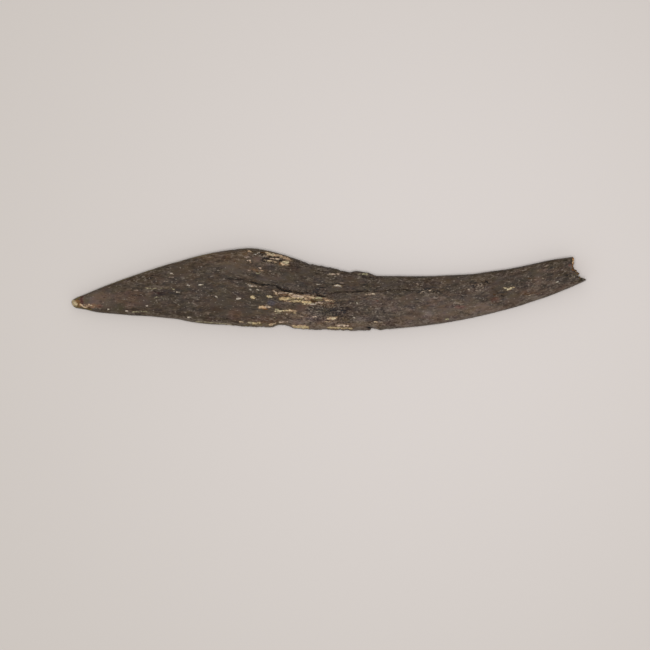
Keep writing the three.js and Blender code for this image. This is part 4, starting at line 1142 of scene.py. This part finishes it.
def skin_light(tree, waves, fields):
    """How light the dark skin is, as a share of its own colour, with painted light along its edges."""
    fine = tree.mix(fields.soft, tree.product(waves, FINE_LIGHTS), SOFT_LIGHT, "FLOAT")
    light = tree.times(tree.product(waves, SKIN_LIGHTS), fine)
    light = tree.lit(light, tree.times(fields.grainy, tree.range(waves.crumb, 0.3, 0.7, -1.0, 1.0)))
    drawn = tree.plus(tree.times(fields.side, SIDE_SCRAPES), fields.under)
    scraped = tree.range(waves.scrape, 0.34, 0.66, -SCRAPE_LIGHT, SCRAPE_LIGHT)
    light = tree.lit(light, tree.times(drawn, scraped))
    light = tree.math("POWER", light, tree.plus(1.0, tree.times(fields.lively, LIVELY_CONTRAST)))
    calm, under = tree.times(fields.calm, CALM_EVENNESS), tree.times(fields.under, UNDER_EVENNESS)
    light = tree.mix(tree.math("MAXIMUM", calm, under), light, EVEN_LIGHT, "FLOAT")
    split = tree.times(tree.thin_line(waves.split, SPLIT_WIDTH), tree.range(waves.gate, 0.48, 0.6))
    light = tree.lit(light, tree.times(split, SPLIT_LIGHT))
    curl = tree.times(tree.thin_line(waves.scratch, CURL_WIDTH), tree.range(waves.mottle, 0.48, 0.62))
    light = tree.lit(light, tree.times(curl, CURL_LIGHT))
    # Painted light along the edges.
    return tree.lit(light, fields.worn)


def skin_colour(tree, waves, fields):
    """The dark skin with its stains, patches and specks, its olive rims of painted highlight, and the paler
    inner face.
    """
    inner = tree.mix(tree.range(waves.cloud, 0.42, 0.62), INNER_SKIN, INNER_PALE)
    skin = tree.mix(tree.times(fields.under, INNER_COVER), fields.stain_and_light, inner)
    skin = tree.mix(tree.times(fields.side, tree.range(waves.cloud, 0.44, 0.6, 0.0, 0.7)), skin, SKIN)
    patches = ((waves.red_patch, RED_TINT), (waves.olive_patch, OLIVE_TINT), (waves.cool_patch, COOL_TINT))
    for patch, tint in patches:
        skin = tree.vector("MULTIPLY", skin, tree.mix(tree.range(patch, 0.42, 0.62), WHITE, tint))
    light = skin_light(tree, waves, fields)
    skin = tree.brighter(skin, tree.math("MINIMUM", light, 1.0))
    skin = tree.mix(tree.range(light, 0.98, 1.75, 0.0, 0.4), skin, DUST)
    speck = tree.plus(waves.dust, tree.times(fields.stem, STEM_SPECKS))
    skin = tree.mix(tree.range(speck, 0.66, 0.74, 0.0, 0.5), skin, SPECK_PALE)
    flecked = tree.times(tree.range(waves.fleck, 0.66, 0.73, 0.0, 0.45), tree.range(waves.gate, 0.45, 0.56))
    skin = tree.mix(tree.times(flecked, tree.math("SUBTRACT", 1.0, fields.calm)), skin, SPECK_PALE)
    # Painted highlight: the olive rim along the edges.
    skin = tree.mix(tree.times(fields.rim, tree.range(waves.gate, 0.36, 0.58, 0.1, 0.85)), skin, OLIVE_RIM_HIGHLIGHT)
    spongy = tree.times(tree.range(waves.sponge, 0.5, 0.62), tree.range(waves.cloud, 0.4, 0.56))
    pores, sponge = tree.times(fields.pores, PORE_SHADE), tree.times(spongy, SPONGE_SHADE)
    skin = tree.mix(tree.times(fields.under, tree.math("MAXIMUM", pores, sponge)), skin, INNER_PORE)
    ring = tree.mix(tree.range(waves.crumb, 0.42, 0.56), FRINGE_DARK, FRINGE)
    return tree.mix(tree.times(fields.fringe, tree.range(waves.fibre, 0.36, 0.56, 0.2, 0.95)), skin, ring)


def bared_colour(tree, waves, mark):
    """The bared bone of the marks: creamy and brown blotches, reddish crumbs and its own grain."""
    pale = tree.range(tree.vector("DOT_PRODUCT", mark, LIGHTNESS, "Value"), 0.12, 0.3)
    bared = tree.mix(tree.times(pale, tree.range(waves.blotch, 0.5, 0.64, 0.0, 0.5)), mark, CREAM)
    bared = tree.mix(tree.times(pale, tree.range(waves.blotch, 0.48, 0.36, 0.0, 0.55)), bared, FRINGE)
    reddish = tree.vector("MULTIPLY", bared, RED_TINT)
    bared = tree.mix(tree.times(pale, tree.range(waves.crumb, 0.5, 0.66, 0.0, 0.75)), bared, reddish)
    return tree.brighter(bared, tree.product(waves, BARED_LIGHTS))


def torn_colour(tree, waves, ember):
    """The torn bone of the break: brown fibres with pale and dark ones, and an orange upper rim."""
    torn = tree.mix(tree.range(waves.mottle, 0.44, 0.6), TORN_BROWN, WEDGE_BROWN)
    torn = tree.mix(tree.range(waves.blotch, 0.54, 0.66, 0.0, 0.8), torn, TORN_PALE)
    torn = tree.mix(tree.range(waves.crumb, 0.52, 0.4, 0.0, 0.85), torn, DARK_SKIN)
    return tree.mix(tree.times(ember, tree.range(waves.fibre, 0.35, 0.55, 0.4, 0.9)), torn, TORN_ORANGE)


def bone_material():
    """The bone: its skin, the bared bone of the marks, the torn end, and the crack painted near black as
    painted shade.
    """
    tree = NodeTree("weathered_bone")
    fields = SimpleNamespace(**{name: tree.attribute(name) for name in NUMBER_FIELDS})
    fields.stain_and_light = tree.attribute("stain_and_light", "Color")
    mark, cover = tree.attribute("mark", "Color"), tree.attribute("mark", "Alpha")
    grain = tree.attribute("grain", "Vector")
    waves = SimpleNamespace(**{name: tree.noise(grain, *row) for name, row in MATERIAL_NOISES.items()})

    edge = tree.plus(cover, tree.range(waves.fibre, 0.3, 0.7, -0.34, 0.34))
    edge = tree.plus(edge, tree.range(waves.crumb, 0.3, 0.7, -0.22, 0.22))
    shown = tree.times(tree.range(edge, 0.2, 0.7), tree.range(cover, 0.0, 0.7))
    colour = tree.mix(shown, skin_colour(tree, waves, fields), bared_colour(tree, waves, mark))
    open_share = tree.math("SUBTRACT", 1.0, tree.times(shown, TORN_HIDDEN))
    colour = tree.mix(tree.times(fields.broken, open_share), colour, torn_colour(tree, waves, fields.ember))
    # Painted shade: the crack is painted near black.
    colour = tree.mix(tree.range(fields.crack, 0.1, 0.75), colour, BLACK)
    colour = tree.vector("SUBTRACT", colour, (SHEEN, SHEEN, SHEEN))
    colour = tree.vector("MAXIMUM", colour, (DARKEST, DARKEST, DARKEST))

    rough = tree.plus(tree.range(waves.streak, 0.3, 0.7, *ROUGHNESS), tree.times(shown, BARED_ROUGHNESS))
    height = tree.plus(tree.times(waves.thread, THREAD_BUMP), tree.times(waves.grit, GRIT_BUMP))
    height = tree.plus(height, tree.times(waves.streak, STREAK_BUMP))
    bumps = {"Strength": BUMP_STRENGTH, "Distance": BUMP_DISTANCE * MM, "Height": height}
    normal = tree.make("ShaderNodeBump", "Normal", bumps)
    return tree.surface(tree.make("ShaderNodeBsdfPrincipled", "BSDF", {
        "Base Color": colour, "Roughness": rough, "Normal": normal, "Specular IOR Level": SPECULAR_LEVEL,
    }))


# The floor's colours and sizes, and the light over it, in metres and watts.
FLOOR_LIGHT = srgb(214, 207, 203)
FLOOR_DARK = srgb(201, 194, 188)
FLOOR_HALF = 3.0
FLOOR_MIDDLE_X = 0.03
FLOOR_FADE = 0.17
FLOOR_GAP = 0.03  # in millimetres: it keeps the floor clear of the inner face
ROOM_LIGHT = 0.45
KEY_PLACE = (0.0, -0.04, 1.05)
KEY_SIZE = 0.34
KEY_POWER = 6.8

# The camera's lens and sensor, in millimetres, and how near it sees, in metres.
LENS = 200
SENSOR_WIDTH = 36
CLIP_START = 0.01


def make_floor():
    """The pale floor, a little lighter round the barb: a painted pool of light."""
    low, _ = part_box("barb")
    level = low[2] - FLOOR_GAP * MM
    corners = [(x * FLOOR_HALF, y * FLOOR_HALF, level) for x, y in ((-1, -1), (1, -1), (1, 1), (-1, 1))]
    mesh = bpy.data.meshes.new("floor")
    mesh.from_pydata(corners, [], [(0, 1, 2, 3)])
    floor = bpy.data.objects.new("floor", mesh)
    bpy.context.collection.objects.link(floor)
    tree = NodeTree("pale_floor")
    place = tree.make("ShaderNodeNewGeometry", "Position", {})
    away = tree.vector("DISTANCE", place, (FLOOR_MIDDLE_X, 0.0, low[2]), "Value")
    # Painted pool of light: lighter in the middle, darker away from it.
    colour = tree.mix(tree.range(away, 0.0, FLOOR_FADE), FLOOR_LIGHT, FLOOR_DARK)
    mesh.materials.append(tree.surface(tree.make("ShaderNodeBsdfDiffuse", "BSDF", {"Color": colour})))


def make_lights():
    """Even light from all round, and one soft lamp high above the barb that faces its middle."""
    world = bpy.data.worlds.new("soft_room")
    bpy.context.scene.world = world
    world.use_nodes = True
    background = world.node_tree.nodes["Background"]
    background.inputs["Color"].default_value = (1.0, 1.0, 1.0, 1.0)
    background.inputs["Strength"].default_value = ROOM_LIGHT
    light = bpy.data.lights.new("soft_key", "AREA")
    light.shape = "SQUARE"
    light.size = KEY_SIZE
    light.energy = KEY_POWER
    lamp = bpy.data.objects.new("soft_key", light)
    x, y, z = KEY_PLACE
    lamp.location = KEY_PLACE
    lamp.rotation_euler = (math.atan2(math.hypot(x, y), z), 0, math.atan2(-y, -x) - math.pi / 2)
    bpy.context.collection.objects.link(lamp)


def make_camera():
    """The camera, straight above, with the photograph's own frame."""
    data = bpy.data.cameras.new("camera")
    data.lens = LENS
    data.sensor_width = SENSOR_WIDTH
    data.clip_start = CLIP_START
    camera = bpy.data.objects.new("camera", data)
    tip = to_frame(np.zeros((1, 3)))[0]
    x = tip[0] + (PHOTO_SIZE / 2 - PHOTO_TIP_X) * PIXEL * MM
    y = tip[1] + (PHOTO_BASE_Y - PHOTO_SIZE / 2) * PIXEL * MM
    focus = EDGE_SHARE * SPUR_THICKNESS * MM
    camera.location = (x, y, focus + PHOTO_SIZE * PIXEL * MM * LENS / SENSOR_WIDTH)
    bpy.context.collection.objects.link(camera)
    bpy.context.scene.camera = camera
    bpy.context.scene.view_settings.view_transform = "Standard"


barb = build_barb()
barb.data.materials.append(bone_material())
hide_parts("barb")
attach(barb, "root")
make_floor()
make_lights()
make_camera()
